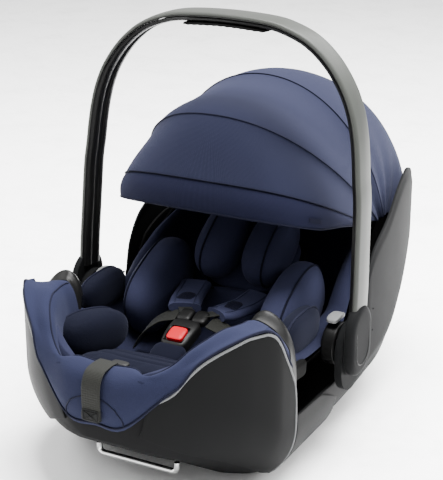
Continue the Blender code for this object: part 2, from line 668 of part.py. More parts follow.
def on_back(x, along, out):
    """Point by its place along the backrest and out from it, measured from the middle of the headrest."""
    turned = Matrix.Rotation(BACK_ANGLE, 3, "X")
    return HEADREST + turned @ Vector((x, along, out))


def build_headrest():
    """Sliding headrest: a shell with a pull lever on top, a head pad and a wing on each side."""
    block("headrest_shell", on_back(0, 0, -HEADREST_DEPTH), (HEADREST_WIDTH / 2 - 0.012, HEADREST_LENGTH / 2, 0.0025),
          0.020, "tub_plastic", tilt=BACK_ANGLE)
    cushion("headrest_pad", on_back(0, 0, -0.0285),
            (HEADREST_WIDTH / 2 - 0.018, HEADREST_LENGTH / 2, 0.0075), "navy_padding", tilt=BACK_ANGLE)
    for side, sign in sides():
        cushion("headrest_wing_" + side, on_back(sign * (HEADREST_LOBE + 0.002), 0, 0.012),
                (HEADREST_LOBE, HEADREST_LENGTH / 2 + 0.008, 0.031), "navy_padding", tilt=BACK_ANGLE)
    block("headrest_lever", on_back(0, HEADREST_LENGTH / 2 + 0.0105, -HEADREST_DEPTH), (0.026, 0.008, 0.006), 0.005,
          "black_plastic", tilt=BACK_ANGLE)


# ---------------------------------------------------------------- harness
BUCKLE = Vector((0.0, at(-0.109), 0.158))
BUCKLE_ANGLE = math.radians(20)


def on_buckle(x, along, out):
    """Point by its place up the buckle and out of its front face."""
    return BUCKLE + Matrix.Rotation(BUCKLE_ANGLE, 3, "X") @ Vector((x, along, out))


def build_buckle():
    """Buckle housing with a well for the release button, the two tongues and the strap that holds it."""
    half = Vector((BUCKLE_WIDTH / 2, BUCKLE_LENGTH / 2, BUCKLE_THICK / 2))
    housing = block("buckle_housing", BUCKLE, half, 0.010, "black_plastic", tilt=BUCKLE_ANGLE)
    well = block("button_well", on_buckle(0, -0.006, half.z - 0.003),
                 (BUTTON_SIDE / 2 + BUTTON_PLAY, BUTTON_SIDE / 2 + BUTTON_PLAY, 0.0062), 0.005, "steel",
                 tilt=BUCKLE_ANGLE, crown=0.02)
    cut(housing, well)
    block("buckle_button", on_buckle(0, -0.006, half.z - 0.0015),
          (BUTTON_SIDE / 2, BUTTON_SIDE / 2, 0.0035), 0.005, "red_button", tilt=BUCKLE_ANGLE, crown=0.3)
    for side, sign in sides():
        block("buckle_tongue_" + side, on_buckle(sign * BUCKLE_WIDTH * 0.26, half.y + 0.0105, 0.0),
              (BUCKLE_WIDTH * 0.22, 0.0098, 0.005), 0.004, "black_plastic", tilt=BUCKLE_ANGLE)
    low = on_buckle(0, -half.y - 0.0018, 0)
    drop = [low, low + Vector((0, -0.004, -0.008)), low + Vector((0, -0.004, -0.016))]
    webbing("crotch_strap", drop, (1, 0, 0))


def build_harness():
    """Shoulder pads, lap straps and the adjuster at the front of the seat."""
    reach = BUCKLE_LENGTH / 2 + 0.021
    pad_section = rounded_rectangle(0.022, 0.006, 0.005, 2)
    for side, sign in sides():
        tongue = on_buckle(sign * BUCKLE_WIDTH * 0.26, reach, 0.0)
        pad = spline([(sign * 0.027, tongue.y + 0.014, tongue.z - 0.003),
                      (sign * (LINED_HALF - 0.115), at(-0.030), 0.165),
                      (sign * (LINED_HALF - 0.107), at(-0.004), 0.166),
                      (sign * (LINED_HALF - 0.101), at(0.024), 0.172)], 3)
        sweep("shoulder_pad_" + side, pad, pad_section, (1, 0, 0), "navy_padding")
        beside = sign * (BUCKLE_WIDTH * 0.22 + 0.003)
        lap = spline([tongue + Vector((beside, -0.006, -0.006)), (sign * 0.050, at(-0.072), 0.158),
                      (sign * 0.070, at(-0.080), 0.140), (sign * 0.084, at(-0.084), 0.116)], 3)
        webbing("lap_strap_" + side, lap, (0, 1, 0.3), 0.022)
    nose = at(PLAN[0][0])
    tail = [(0, nose + 0.022, 0.1955), (0, nose - 0.010, 0.1935), (0, nose - 0.0205, 0.176),
            (0, nose - 0.0205, 0.152), (0, nose - 0.018, 0.131)]
    webbing("adjuster_strap", spline(tail, 4), (1, 0, 0))
    block("adjuster_housing", (0, nose + 0.0475, 0.166), (0.022, 0.008, 0.007), 0.005, "black_plastic")
    block("adjuster_button", (0, nose + 0.0475, 0.1795), (0.012, 0.006, 0.003), 0.003, "button_plastic")


def build_release():
    """Pull-up grip at the head end that frees the seat from a car base."""
    half_thick = 0.006
    block("release_lever", (0, BACK_FACE + GAP + half_thick, 0.226 * BODY_HEIGHT / DRAWN.z),
          (0.042, half_thick, 0.011), 0.008, "black_plastic", axis="y")


def main():
    for old in list(bpy.data.objects):
        bpy.data.objects.remove(old, do_unlink=True)
    build_tub()
    trough("seat_shell", -0.288, 0.340, SEAT_INSET, 0.0, 0.0, SEAT_WALL, "tub_plastic")
    trough("foam_liner", -0.050, 0.320, SEAT_INSET + SEAT_WALL + 0.0020, SEAT_WALL + 0.0030, 0.004, FOAM_WALL,
           "foam", count=16)
    build_panels()
    build_back_panel()
    build_docking_bar()
    build_handle()
    build_hubs()
    build_canopy()
    build_cover()
    build_trim()
    build_cushions()
    build_headrest()
    build_buckle()
    build_harness()
    build_release()


main()
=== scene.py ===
"""Looks of a rear-facing infant carrier round its CAD frame: shells, soft goods, harness, studio and camera.

Metres, +Z up, X across with the right side at +X, the foot end at -Y and the head end at +Y.
"""
import json
import logging
import math
from dataclasses import dataclass, replace
from enum import Enum
from typing import Callable, Iterable, Sequence

import bpy
import numpy as np
from mathutils import Matrix, Vector

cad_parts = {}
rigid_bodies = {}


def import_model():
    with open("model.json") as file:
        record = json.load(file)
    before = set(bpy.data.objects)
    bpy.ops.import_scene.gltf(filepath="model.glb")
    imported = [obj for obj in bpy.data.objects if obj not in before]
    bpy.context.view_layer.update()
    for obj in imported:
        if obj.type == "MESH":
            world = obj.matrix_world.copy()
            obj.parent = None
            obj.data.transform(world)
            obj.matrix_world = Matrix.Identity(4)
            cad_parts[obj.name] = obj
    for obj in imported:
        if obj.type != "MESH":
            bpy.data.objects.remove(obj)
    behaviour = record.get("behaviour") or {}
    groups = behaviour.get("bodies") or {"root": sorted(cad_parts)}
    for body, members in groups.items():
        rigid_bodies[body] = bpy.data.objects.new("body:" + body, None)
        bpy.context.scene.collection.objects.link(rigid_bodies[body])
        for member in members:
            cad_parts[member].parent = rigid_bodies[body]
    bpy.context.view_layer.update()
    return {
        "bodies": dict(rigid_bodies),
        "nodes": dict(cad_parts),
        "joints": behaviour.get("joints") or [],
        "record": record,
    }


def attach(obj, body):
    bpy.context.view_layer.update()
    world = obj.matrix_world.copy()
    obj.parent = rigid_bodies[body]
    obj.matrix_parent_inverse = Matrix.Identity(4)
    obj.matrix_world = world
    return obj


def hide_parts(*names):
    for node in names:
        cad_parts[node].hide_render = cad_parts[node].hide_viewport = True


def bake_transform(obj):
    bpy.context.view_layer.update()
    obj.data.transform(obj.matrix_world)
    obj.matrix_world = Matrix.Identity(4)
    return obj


logging.basicConfig(level=logging.INFO, format="%(message)s")
LOG = logging.getLogger("carrier")

Point = tuple[float, float, float]
Table = Sequence[tuple[float, float]]
Surface = Callable[[float, float], Sequence[float]]
Edge = Callable[[float], float]
Piece = bpy.types.Object
Tree = bpy.types.NodeTree
Socket = bpy.types.NodeSocket
SIDES = (("left", -1), ("right", 1))


# ---------------------------------------------------------------- finishes
class Kind(Enum):
    """How a surface is made."""
    WEAVE = "woven cloth, warp and weft along the piece's own lengths"
    KNIT = "brushed jersey over padding"
    GRAIN = "grained moulded plastic"
    SATIN = "smooth moulded plastic"
    WEBBING = "ribbed narrow webbing"
    METAL = "bright plated steel"


@dataclass(frozen=True)
class Finish:
    """Colour and surface of one kind of material.

    Args:
        slot: The record's material slot.
        kind: How the surface is made.
        colour: Linear base colour.
        roughness: Mean roughness.
        pitch: Size of the surface pattern, in metres.
        relief: Height of the pattern, in metres.
        sheen: Strength of the cloth's fibre sheen.
        gloss: Strength of its mirror-like reflection, 0.5 being that of ordinary plastic.
    """
    slot: str
    kind: Kind
    colour: tuple[float, float, float]
    roughness: float
    pitch: float
    relief: float
    sheen: float = 0.0
    gloss: float = 0.04


CANOPY = Finish("canopy_cloth", Kind.WEAVE, (0.0086, 0.0096, 0.0202), 0.78, 0.0016, 0.00030, 0.06)
# VISOR_PAINTED_SHADE is the canopy cloth painted darker: painted shade on the visor band.
VISOR_PAINTED_SHADE = Finish("canopy_cloth", Kind.WEAVE, (0.0054, 0.0060, 0.0150), 0.80, 0.0016, 0.00030, 0.04)
COVER = Finish("navy_cover", Kind.KNIT, (0.0078, 0.0090, 0.0205), 0.82, 0.0013, 0.00035, 0.05)
# PADDING_PAINTED_LIGHT is the navy padding painted brighter as painted light, for the bolsters, head pad, head
# lobes, back pad and shoulder pads, which sit in shade.
PADDING_PAINTED_LIGHT = Finish("navy_padding", Kind.KNIT, (0.0180, 0.0196, 0.0400), 0.85, 0.0013, 0.00035, 0.04)
# SEAT_CLOTH_PAINTED_SHADE is the same navy padding painted darker as painted shade, for the well-lit thigh,
# armrest, seat and crotch pads.
SEAT_CLOTH_PAINTED_SHADE = Finish("navy_padding", Kind.KNIT, (0.0019, 0.0022, 0.0052), 0.86, 0.0013, 0.00035, 0.04)
# LINING_PAINTED_LIGHT is the same navy padding with painted light, brightened because the lining sits in shade
# under the canopy.
LINING_PAINTED_LIGHT = Finish("navy_padding", Kind.KNIT, (0.0080, 0.0088, 0.0190), 0.88, 0.0015, 0.00030, 0.04)
PIPING = Finish("navy_cover", Kind.WEAVE, (0.0040, 0.0044, 0.0100), 0.7, 0.0010, 0.00012, 0.02)
WEBBING = Finish("webbing", Kind.WEBBING, (0.0110, 0.0112, 0.0098), 0.62, 0.0022, 0.00040, 0.03)
TUB = Finish("tub_plastic", Kind.GRAIN, (0.0040, 0.0040, 0.0042), 0.52, 0.0007, 0.00006, gloss=0.02)
PANEL = Finish("panel_plastic", Kind.GRAIN, (0.0036, 0.0037, 0.0038), 0.46, 0.0007, 0.00005, gloss=0.02)
# PANEL_CREST_HIGHLIGHT is the panel plastic painted pale: a painted highlight along the front panels' crest
# bead.
PANEL_CREST_HIGHLIGHT = Finish("panel_plastic", Kind.SATIN, (0.0700, 0.0715, 0.0730), 0.34, 0.0009, 0.00003, gloss=0.06)
WING = Finish("wing_plastic", Kind.GRAIN, (0.0055, 0.0057, 0.0059), 0.44, 0.0007, 0.00005, gloss=0.006)
HANDLE = Finish("handle_plastic", Kind.GRAIN, (0.0300, 0.0316, 0.0288), 0.36, 0.0006, 0.00003, gloss=0.10)
BLACK = Finish("black_plastic", Kind.SATIN, (0.0035, 0.0035, 0.0035), 0.38, 0.0009, 0.00003, gloss=0.10)
MATT_BLACK = Finish("black_plastic", Kind.GRAIN, (0.0028, 0.0028, 0.0028), 0.60, 0.0007, 0.00006, gloss=0.02)
DARK_BUTTON = Finish("button_plastic", Kind.SATIN, (0.0100, 0.0100, 0.0100), 0.42, 0.0009, 0.00003, gloss=0.10)
BUTTON = replace(DARK_BUTTON, colour=(0.1100, 0.1120, 0.1120))
GRIP = Finish("grip_rubber", Kind.GRAIN, (0.0050, 0.0050, 0.0050), 0.72, 0.0010, 0.00012, gloss=0.05)
RED = Finish("red_button", Kind.SATIN, (0.2600, 0.0036, 0.0080), 0.30, 0.0009, 0.00002, gloss=0.10)
STEEL = Finish("steel", Kind.METAL, (0.640, 0.640, 0.640), 0.18, 0.0012, 0.00001)


class Painter:
    """Builds each finish's procedural material once."""

    fibre_tint = (0.62, 0.66, 0.95, 1.0)
    fibre_roughness = 0.45
    cloud_scale = 9.0
    dark, light = 0.80, 1.22

    def __init__(self) -> None:
        """Start with no material made."""
        self._made: dict[Finish, bpy.types.Material] = {}

    def make(self, finish: Finish) -> bpy.types.Material:
        """The material of a finish."""
        if finish not in self._made:
            self._made[finish] = self._build(finish)
        return self._made[finish]

    def paint(self, piece: Piece, finish: Finish) -> None:
        """Give a piece a finish.

        Args:
            piece: The mesh object.
            finish: The finish to use.
        """
        piece.data.materials.clear()
        piece.data.materials.append(self.make(finish))

    def _build(self, finish: Finish) -> bpy.types.Material:
        """Make one material: a mottled colour, an uneven roughness, the pattern as relief and, on cloth,
        painted shade in the pattern's hollows.
        """
        made = bpy.data.materials.new(f"{finish.slot}_{finish.kind.name.lower()}_{len(self._made)}")
        made.use_nodes = True
        tree = made.node_tree
        shader = tree.nodes["Principled BSDF"]
        shader.inputs["Metallic"].default_value = 1.0 if finish.kind is Kind.METAL else 0.0
        shader.inputs["Sheen Weight"].default_value = finish.sheen
        shader.inputs["Sheen Roughness"].default_value = self.fibre_roughness
        shader.inputs["Sheen Tint"].default_value = self.fibre_tint
        shader.inputs["Specular IOR Level"].default_value = finish.gloss
        place = tree.nodes.new("ShaderNodeTexCoord")
        pattern = self._pattern(tree, finish, place)
        cloudy = self._noise(tree, place.outputs["Object"], self.cloud_scale, 3.0)
        speck = self._noise(tree, place.outputs["Object"], 1.0 / finish.pitch, 2.0)
        mottled = self._math(tree, "MULTIPLY_ADD", cloudy, 0.55, 0.28)
        mottled = self._math(tree, "MULTIPLY_ADD", speck, 0.45, mottled)
        tone = self._ramp(tree, mottled, [c * self.dark for c in finish.colour],
                          [c * self.light for c in finish.colour])
        # Cloth gets painted shade in the hollows of its pattern.
        if finish.kind in (Kind.WEAVE, Kind.WEBBING, Kind.KNIT):
            tone = self._hollow_painted_shade(tree, tone, pattern)
        tree.links.new(tone, shader.inputs["Base Color"])
        rough = self._math(tree, "MULTIPLY_ADD", cloudy, 0.16, finish.roughness - 0.08)
        tree.links.new(rough, shader.inputs["Roughness"])
        bump = tree.nodes.new("ShaderNodeBump")
        bump.inputs["Distance"].default_value = finish.relief
        bump.inputs["Strength"].default_value = 0.8
        tree.links.new(pattern, bump.inputs["Height"])
        tree.links.new(bump.outputs["Normal"], shader.inputs["Normal"])
        made.diffuse_color = (*finish.colour, 1.0)
        return made

    def _hollow_painted_shade(self, tree: Tree, tone: Socket, pattern: Socket) -> Socket:
        """The tone with painted shade: a little darker in the hollows of the cloth."""
        shade = self._math(tree, "MULTIPLY_ADD", pattern, 0.22, 0.88)
        mixed = tree.nodes.new("ShaderNodeMix")
        mixed.data_type = "RGBA"
        mixed.blend_type = "MULTIPLY"
        mixed.inputs["Factor"].default_value = 1.0
        tree.links.new(tone, mixed.inputs["A"])
        tree.links.new(shade, mixed.inputs["B"])
        return mixed.outputs["Result"]

    def _pattern(self, tree: Tree, finish: Finish, place: bpy.types.Node) -> Socket:
        """Height of the finish's fine pattern, from 0 to 1.

        Args:
            tree: The material's node tree.
            finish: The finish, whose kind picks the pattern.
            place: The texture coordinate node.

        Returns:
            The socket that gives the height.
        """
        if finish.kind is Kind.WEAVE:
            warp = self._wave(tree, place.outputs["UV"], "X", finish.pitch, 0.6)
            weft = self._wave(tree, place.outputs["UV"], "Y", finish.pitch, 0.6)
            return self._math(tree, "MULTIPLY", warp, weft)
        if finish.kind is Kind.WEBBING:
            ribs = self._wave(tree, place.outputs["UV"], "Y", finish.pitch, 0.2)
            cords = self._wave(tree, place.outputs["UV"], "X", finish.pitch * 1.6, 0.2)
            cords = self._math(tree, "MULTIPLY", cords, 0.4)
            return self._math(tree, "MULTIPLY_ADD", ribs, 0.6, cords)
        if finish.kind is Kind.KNIT:
            loops = tree.nodes.new("ShaderNodeTexVoronoi")
            loops.inputs["Scale"].default_value = 1.0 / finish.pitch
            tree.links.new(place.outputs["Object"], loops.inputs["Vector"])
            fuzz = self._noise(tree, place.outputs["Object"], 1.6 / finish.pitch, 3.0)
            fuzz = self._math(tree, "MULTIPLY", fuzz, 0.5)
            return self._math(tree, "MULTIPLY_ADD", loops.outputs["Distance"], 0.7, fuzz)
        return self._noise(tree, place.outputs["Object"], 1.0 / finish.pitch, 3.0)

    @staticmethod
    def _noise(tree: Tree, vector: Socket, scale: float, detail: float) -> Socket:
        """Soft noise of a given scale."""
        noise = tree.nodes.new("ShaderNodeTexNoise")
        noise.inputs["Scale"].default_value = scale
        noise.inputs["Detail"].default_value = detail
        tree.links.new(vector, noise.inputs["Vector"])
        return noise.outputs["Fac"]

    @staticmethod
    def _wave(tree: Tree, vector: Socket, direction: str, pitch: float, distortion: float) -> Socket:
        """Threads side by side along X or Y, one for each pitch."""
        wave = tree.nodes.new("ShaderNodeTexWave")
        wave.bands_direction = direction
        wave.inputs["Scale"].default_value = math.pi / 10 / pitch
        wave.inputs["Distortion"].default_value = distortion
        tree.links.new(vector, wave.inputs["Vector"])
        return wave.outputs["Fac"]

    @staticmethod
    def _math(tree: Tree, operation: str, *values: "Socket | float") -> Socket:
        """One sum, product or both of sockets and numbers."""
        node = tree.nodes.new("ShaderNodeMath")
        node.operation = operation
        for socket, value in zip(node.inputs, values):
            if isinstance(value, bpy.types.NodeSocket):
                tree.links.new(value, socket)
            else:
                socket.default_value = value
        return node.outputs["Value"]

    @staticmethod
    def _ramp(tree: Tree, fac: Socket, dark: Sequence[float], light: Sequence[float]) -> Socket:
        """A colour between dark and light."""
        ramp = tree.nodes.new("ShaderNodeValToRGB")
        ramp.color_ramp.elements[0].position = 0.25
        ramp.color_ramp.elements[0].color = (*dark, 1.0)
        ramp.color_ramp.elements[1].position = 0.80
        ramp.color_ramp.elements[1].color = (*light, 1.0)
        tree.links.new(fac, ramp.inputs["Fac"])
        return ramp.outputs["Color"]


# ---------------------------------------------------------------- curves
def smooth(table: Table, x: float) -> float:
    """Value at x of a smooth curve through (x, value) pairs, with no overshoot.

    Args:
        table: The pairs, in order of x.
        x: Where the curve is read. Past either end it stays at the end's value.

    Returns:
        The curve's value.
    """
    if x <= table[0][0]:
        return table[0][1]
    if x >= table[-1][0]:
        return table[-1][1]
    slopes = [(b[1] - a[1]) / (b[0] - a[0]) for a, b in zip(table, table[1:])]
    index = next(i for i in range(len(slopes)) if x <= table[i + 1][0])

    def tangent(i: int) -> float:
        """Slope at a pair: the harmonic mean of its neighbours' slopes, or zero at a turn."""
        if i == 0:
            return slopes[0]
        if i == len(slopes):
            return slopes[-1]
        before, after = slopes[i - 1], slopes[i]
        if before * after <= 0:
            return 0.0
        return 2 * before * after / (before + after)

    (x0, v0), (x1, v1) = table[index], table[index + 1]
    span = x1 - x0
    t = (x - x0) / span
    return ((2 * t ** 3 - 3 * t ** 2 + 1) * v0 + (t ** 3 - 2 * t ** 2 + t) * span * tangent(index)
            + (3 * t ** 2 - 2 * t ** 3) * v1 + (t ** 3 - t ** 2) * span * tangent(index + 1))


def power_of(wave: float, power: float) -> float:
    """A wave's value raised to a power, with its sign kept."""
    return math.copysign(abs(wave) ** power, wave)


def ease(low: float, high: float, x: float) -> float:
    """Smooth step from 0 at low to 1 at high."""
    t = min(1.0, max(0.0, (x - low) / (high - low)))
    return t * t * (3 - 2 * t)


def mix(a: float, b: float, t: float) -> float:
    """Value a share t of the way from a to b."""
    return a + (b - a) * t


def length_of(places: Sequence[Vector]) -> float:
    """Length of the straight runs from place to place."""
    return sum((b - a).length for a, b in zip(places, places[1:]))


class Track:
    """A smooth curve through points, read by its share from 0 to 1.

    Args:
        points: The points that the curve passes through, in metres.
    """

    def __init__(self, points: Iterable[Sequence[float]]) -> None:
        """Keep the points."""
        self._points = [Vector(p) for p in points]

    def at(self, share: float) -> Vector:
        """Place at a share of the curve, each span between two points counting the same."""
        spans = len(self._points) - 1
        place = min(max(share, 0.0), 1.0) * spans
        i = min(int(place), spans - 1)
        t = place - i
        b, c = self._points[i], self._points[i + 1]
        a = self._points[i - 1] if i else b * 2 - c
        d = self._points[i + 2] if i + 2 <= spans else c * 2 - b
        return 0.5 * ((2 * b) + (c - a) * t + (2 * a - 5 * b + 4 * c - d) * t * t
                      + (3 * b - a - 3 * c + d) * t ** 3)

    def ahead(self, share: float) -> Vector:
        """Direction of the curve at a share."""
        near = 0.004
        return (self.at(min(1.0, share + near)) - self.at(max(0.0, share - near))).normalized()


class Net:
    """A smooth surface through a net of points, read by shares along and across it.

    Args:
        rows: The net's rows, each with as many points as the others.
    """

    def __init__(self, rows: Sequence[Sequence[Sequence[float]]]) -> None:
        """Make a curve of each row."""
        self._tracks = [Track(row) for row in rows]

    def at(self, along: float, across: float) -> Vector:
        """Place at a share of the rows and a share of each row."""
        return Track([track.at(across) for track in self._tracks]).at(along)


# ---------------------------------------------------------------- modelling
class Workshop:
    """Makes each piece: a primitive shaped by a rule, finished with modifiers, painted and put on its body."""

    crease = math.radians(50.0)
    weld = 1e-5

    def __init__(self) -> None:
        """Start with an unused painter."""
        self.painter = Painter()

    @staticmethod
    def _shape(rule: Callable[[np.ndarray], np.ndarray]) -> Piece:
        """Move the points of the primitive just added by a rule."""
        made = bpy.context.object
        co = np.empty(len(made.data.vertices) * 3)
        made.data.vertices.foreach_get("co", co)
        made.data.vertices.foreach_set("co", rule(co.reshape(-1, 3)).ravel())
        made.data.update()
        return made

    @staticmethod
    def _apply(piece: Piece, kind: str, **values: object) -> None:
        """Add a modifier with some values, and apply it."""
        modifier = piece.modifiers.new(kind.lower(), kind)
        for key, value in values.items():
            setattr(modifier, key, value)
        bpy.context.view_layer.objects.active = piece
        bpy.ops.object.modifier_apply(modifier=modifier.name)

    @staticmethod
    def _edit(*steps: Callable[[], object]) -> None:
        """Run edit-mode steps on the whole active mesh."""
        bpy.ops.object.mode_set(mode="EDIT")
        bpy.ops.mesh.select_all(action="SELECT")
        for step in steps:
            step()
        bpy.ops.object.mode_set(mode="OBJECT")

    @staticmethod
    def _alone(piece: Piece) -> None:
        """Select this piece only."""
        bpy.ops.object.select_all(action="DESELECT")
        piece.select_set(True)
        bpy.context.view_layer.objects.active = piece

    def finish(self, piece: Piece, name: str, finish: Finish, body: str | None,
               replaces: Sequence[str] = (), angle: float = 50.0) -> Piece:
        """Name, paint and attach a piece.

        Args:
            piece: The mesh object.
            name: Its name.
            finish: Its finish.
            body: The CAD body it rides on, or None to leave it unattached.
            replaces: CAD nodes that it stands for.
            angle: Edges sharper than this stay sharp, in degrees.

        Returns:
            The same object.
        """
        piece.name = name
        piece.data.name = name
        self._alone(piece)
        bpy.ops.object.shade_smooth_by_angle(angle=math.radians(angle))
        self.painter.paint(piece, finish)
        if body:
            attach(piece, body)
        if replaces:
            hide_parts(*replaces)
        LOG.info("%s: %d faces", name, len(piece.data.polygons))
        return piece

    def sheet(self, surface: Surface, counts: tuple[int, int], wall: float, inside: Sequence[float],
              bevel: float = 0.0, ring: bool = False, puff: float = 0.0) -> Piece:
        """A grid laid on a surface and thickened towards its inside.

        Args:
            surface: Point for two shares from 0 to 1.
            counts: Faces along each share.
            wall: Thickness, in metres.
            inside: A point on the side that the wall goes to.
            bevel: Radius of its edges.
            ring: The first share closes on itself.
            puff: How much the middle swells out.

        Returns:
            The new object, not yet named or painted.
        """
        bpy.ops.mesh.primitive_grid_add(x_subdivisions=counts[0], y_subdivisions=counts[1], size=1.0)
        shares = []

        def rule(co: np.ndarray) -> np.ndarray:
            """Lay the flat grid on the surface."""
            shares.extend((float(x) + 0.5, float(y) + 0.5) for x, y, _ in co)
            return np.array([tuple(surface(min(1, max(0, u)), min(1, max(0, v)))) for u, v in shares])

        made = self._shape(rule)
        self._lengths(made, surface, shares)
        if ring:
            self._edit(lambda: bpy.ops.mesh.remove_doubles(threshold=self.weld))
        mesh = made.data
        centre = Vector(inside)
        facing = sum(p.normal.dot(p.center - centre) * p.area for p in mesh.polygons)
        if facing < 0:
            self._edit(lambda: bpy.ops.mesh.flip_normals())
        if puff:
            normals = np.array([v.normal[:] for v in mesh.vertices])
            co = np.array([v.co[:] for v in mesh.vertices])
            swell = np.array([puff * (16 * u * (1 - u) * v * (1 - v)) ** 0.5 for u, v in shares])
            mesh.vertices.foreach_set("co", (co + normals * swell[:, None]).ravel())
        if wall:
            self._apply(made, "SOLIDIFY", thickness=wall, offset=-1.0)
        if bevel:
            self._apply(made, "BEVEL", width=bevel, segments=2, limit_method="ANGLE", angle_limit=self.crease)
        return made

    @staticmethod
    def _lengths(piece: Piece, surface: Surface, shares: list[tuple[float, float]]) -> None:
        """Lay the piece's UV out in metres along its two directions."""
        marks = [i / 24 for i in range(25)]
        across = [Vector(surface(u, 0.5)) for u in marks]
        along = [Vector(surface(0.5, v)) for v in marks]
        wide, tall = length_of(across), length_of(along)
        layer = piece.data.uv_layers.active or piece.data.uv_layers.new(name="lengths")
        for loop in piece.data.loops:
            u, v = shares[loop.vertex_index]
            layer.data[loop.index].uv = (u * wide, v * tall)

    def solid(self, rule: Callable[[Vector], Vector], cuts: int = 20, power: float = 2.6) -> Piece:
        """A rounded cube, the unit ball of the given power, moved by a rule.

        Args:
            rule: Place for each point of the ball.
            cuts: Cuts along each edge of the cube.
            power: 2 is a ball, and larger is boxier.

        Returns:
            The new object, not yet named or painted.
        """
        bpy.ops.mesh.primitive_cube_add(size=2.0)
        self._edit(lambda: bpy.ops.mesh.subdivide(number_cuts=cuts))

        def shaped(co: np.ndarray) -> np.ndarray:
            """Press the cube into the ball, then move it by the rule."""
            eased = np.tan(co * math.pi / 4)
            norm = (np.abs(eased) ** power).sum(1) ** (1 / power)
            return np.array([tuple(rule(Vector(p))) for p in eased / norm[:, None]])

        return self._shape(shaped)

    def block(self, centre: Sequence[float], half: Point, tilt: float = 0.0, power: float = 6.0, cuts: int = 12,
              turn: float = 0.0) -> Piece:
        """A rounded block or pillow, tilted about X and then turned about Z.

        Args:
            centre: Its middle.
            half: Its half sizes.
            tilt: Tilt about X, in degrees.
            power: 2 is a ball, and larger is boxier.
            cuts: Cuts along each edge.
            turn: Turn about Z, in degrees.

        Returns:
            The new object, not yet named or painted.
        """
        frame = Matrix.Rotation(math.radians(turn), 3, "Z") @ Matrix.Rotation(math.radians(tilt), 3, "X")
        middle, size = Vector(centre), Vector(half)
        return self.solid(lambda p: middle + frame @ Vector([a * b for a, b in zip(p, size)]), cuts, power)

    def strap(self, points: Iterable[Sequence[float]], side: Point, width: float, thick: float,
              count: int = 40, taper: Callable[[float], float] = lambda v: 1.0) -> Piece:
        """A flat strap along a smooth curve.

        Args:
            points: The points that its middle passes through.
            side: Direction of its width.
            width: Width, in metres.
            thick: Thickness, in metres.
            count: Faces along it.
            taper: Share of the width at each share of its length.

        Returns:
            The new object, not yet named or painted.
        """
        track, across = Track(points), Vector(side)

        def surface(u: float, v: float) -> Vector:
            """Place across and along the strap."""
            ahead = track.ahead(v)
            out = (across - ahead * across.dot(ahead)).normalized()
            return track.at(v) + out * (u - 0.5) * width * taper(v)

        first = track.ahead(0.5).cross(across)
        inside = track.at(0.5) - first
        return self.sheet(surface, (8, count), thick, inside, bevel=thick * 0.3)

    def tube(self, points: Iterable[Sequence[float]], radius: float, count: int = 60,
             straight: bool = False) -> Piece:
        """A round cord or bar.

        Args:
            points: The points that it passes through.
            radius: Its radius, in metres.
            count: Pieces that its smooth curve is cut into.
            straight: It runs straight from point to point instead.

        Returns:
            The new object, not yet named or painted.
        """
        places = [Vector(p) for p in points]
        if not straight:
            track = Track(places)
            places = [track.at(i / count) for i in range(count + 1)]
        data = bpy.data.curves.new("tube", "CURVE")
        data.dimensions = "3D"
        data.bevel_depth = radius
        data.bevel_resolution = 3
        data.use_fill_caps = True
        line = data.splines.new("POLY")
        line.points.add(len(places) - 1)
        for target, place in zip(line.points, places):
            target.co = (*place, 1.0)
        made = bpy.data.objects.new("tube", data)
        bpy.context.scene.collection.objects.link(made)
        self._alone(made)
        bpy.ops.object.convert(target="MESH")
        return bpy.context.object

    def join(self, pieces: Sequence[Piece]) -> Piece:
        """One object out of several."""
        bpy.ops.object.select_all(action="DESELECT")
        for piece in pieces:
            piece.select_set(True)
        bpy.context.view_layer.objects.active = pieces[0]
        bpy.ops.object.join()
        return bpy.context.object

    def sweep(self, track: Track, section: Table, side: Point, count: int) -> Piece:
        """A closed section swept along a curve.

        Args:
            track: The curve.
            section: Points round the section, in metres.
            side: Direction of the section's first axis.
            count: Faces along the curve.

        Returns:
            The new object, not yet named or painted.
        """
        outline = Track([(a, b, 0.0) for a, b in (*section, section[0])])
        across = Vector(side)

        def surface(u: float, v: float) -> Vector:
            """Place round and along the bar."""
            ahead = track.ahead(v)
            first = (across - ahead * across.dot(ahead)).normalized()
            a, b, _ = outline.at(u)
            return track.at(v) + first * a + ahead.cross(first) * b

        made = self.sheet(surface, (len(section) * 3, count), 0.0, (0, 0, 0.3), ring=True)
        self._edit(lambda: bpy.ops.mesh.fill_holes(sides=0),
                   lambda: bpy.ops.mesh.normals_make_consistent(inside=False))
        return made

    def plate(self, outline: Callable[[float], tuple[float, float]], centre: tuple[float, float],
              profile: Table, count: int = 64) -> Piece:
        """A turned-looking cap square to X.

        Args:
            outline: Its rim, as (y, z) for a share from 0 to 1.
            centre: The point (y, z) that it shrinks towards.
            profile: Pairs of (scale of the rim, x), from the middle of one face to that of the other.
            count: Faces round the rim.

        Returns:
            The new object, not yet named or painted.
        """
        edge = Track([(s, x, 0.0) for s, x in profile])

        def surface(u: float, v: float) -> Point:
            """Place round the rim and along the profile."""
            y, z = outline(u)
            scale, x, _ = edge.at(v)
            return (x, mix(centre[0], y, scale), mix(centre[1], z, scale))

        middle = (sum(x for _, x in profile) / len(profile), *centre)
        made = self.sheet(surface, (count, 4 * len(profile)), 0.0, middle, ring=True)
        self._edit(lambda: bpy.ops.mesh.remove_doubles(threshold=self.weld),
                   lambda: bpy.ops.mesh.normals_make_consistent(inside=False))
        return made

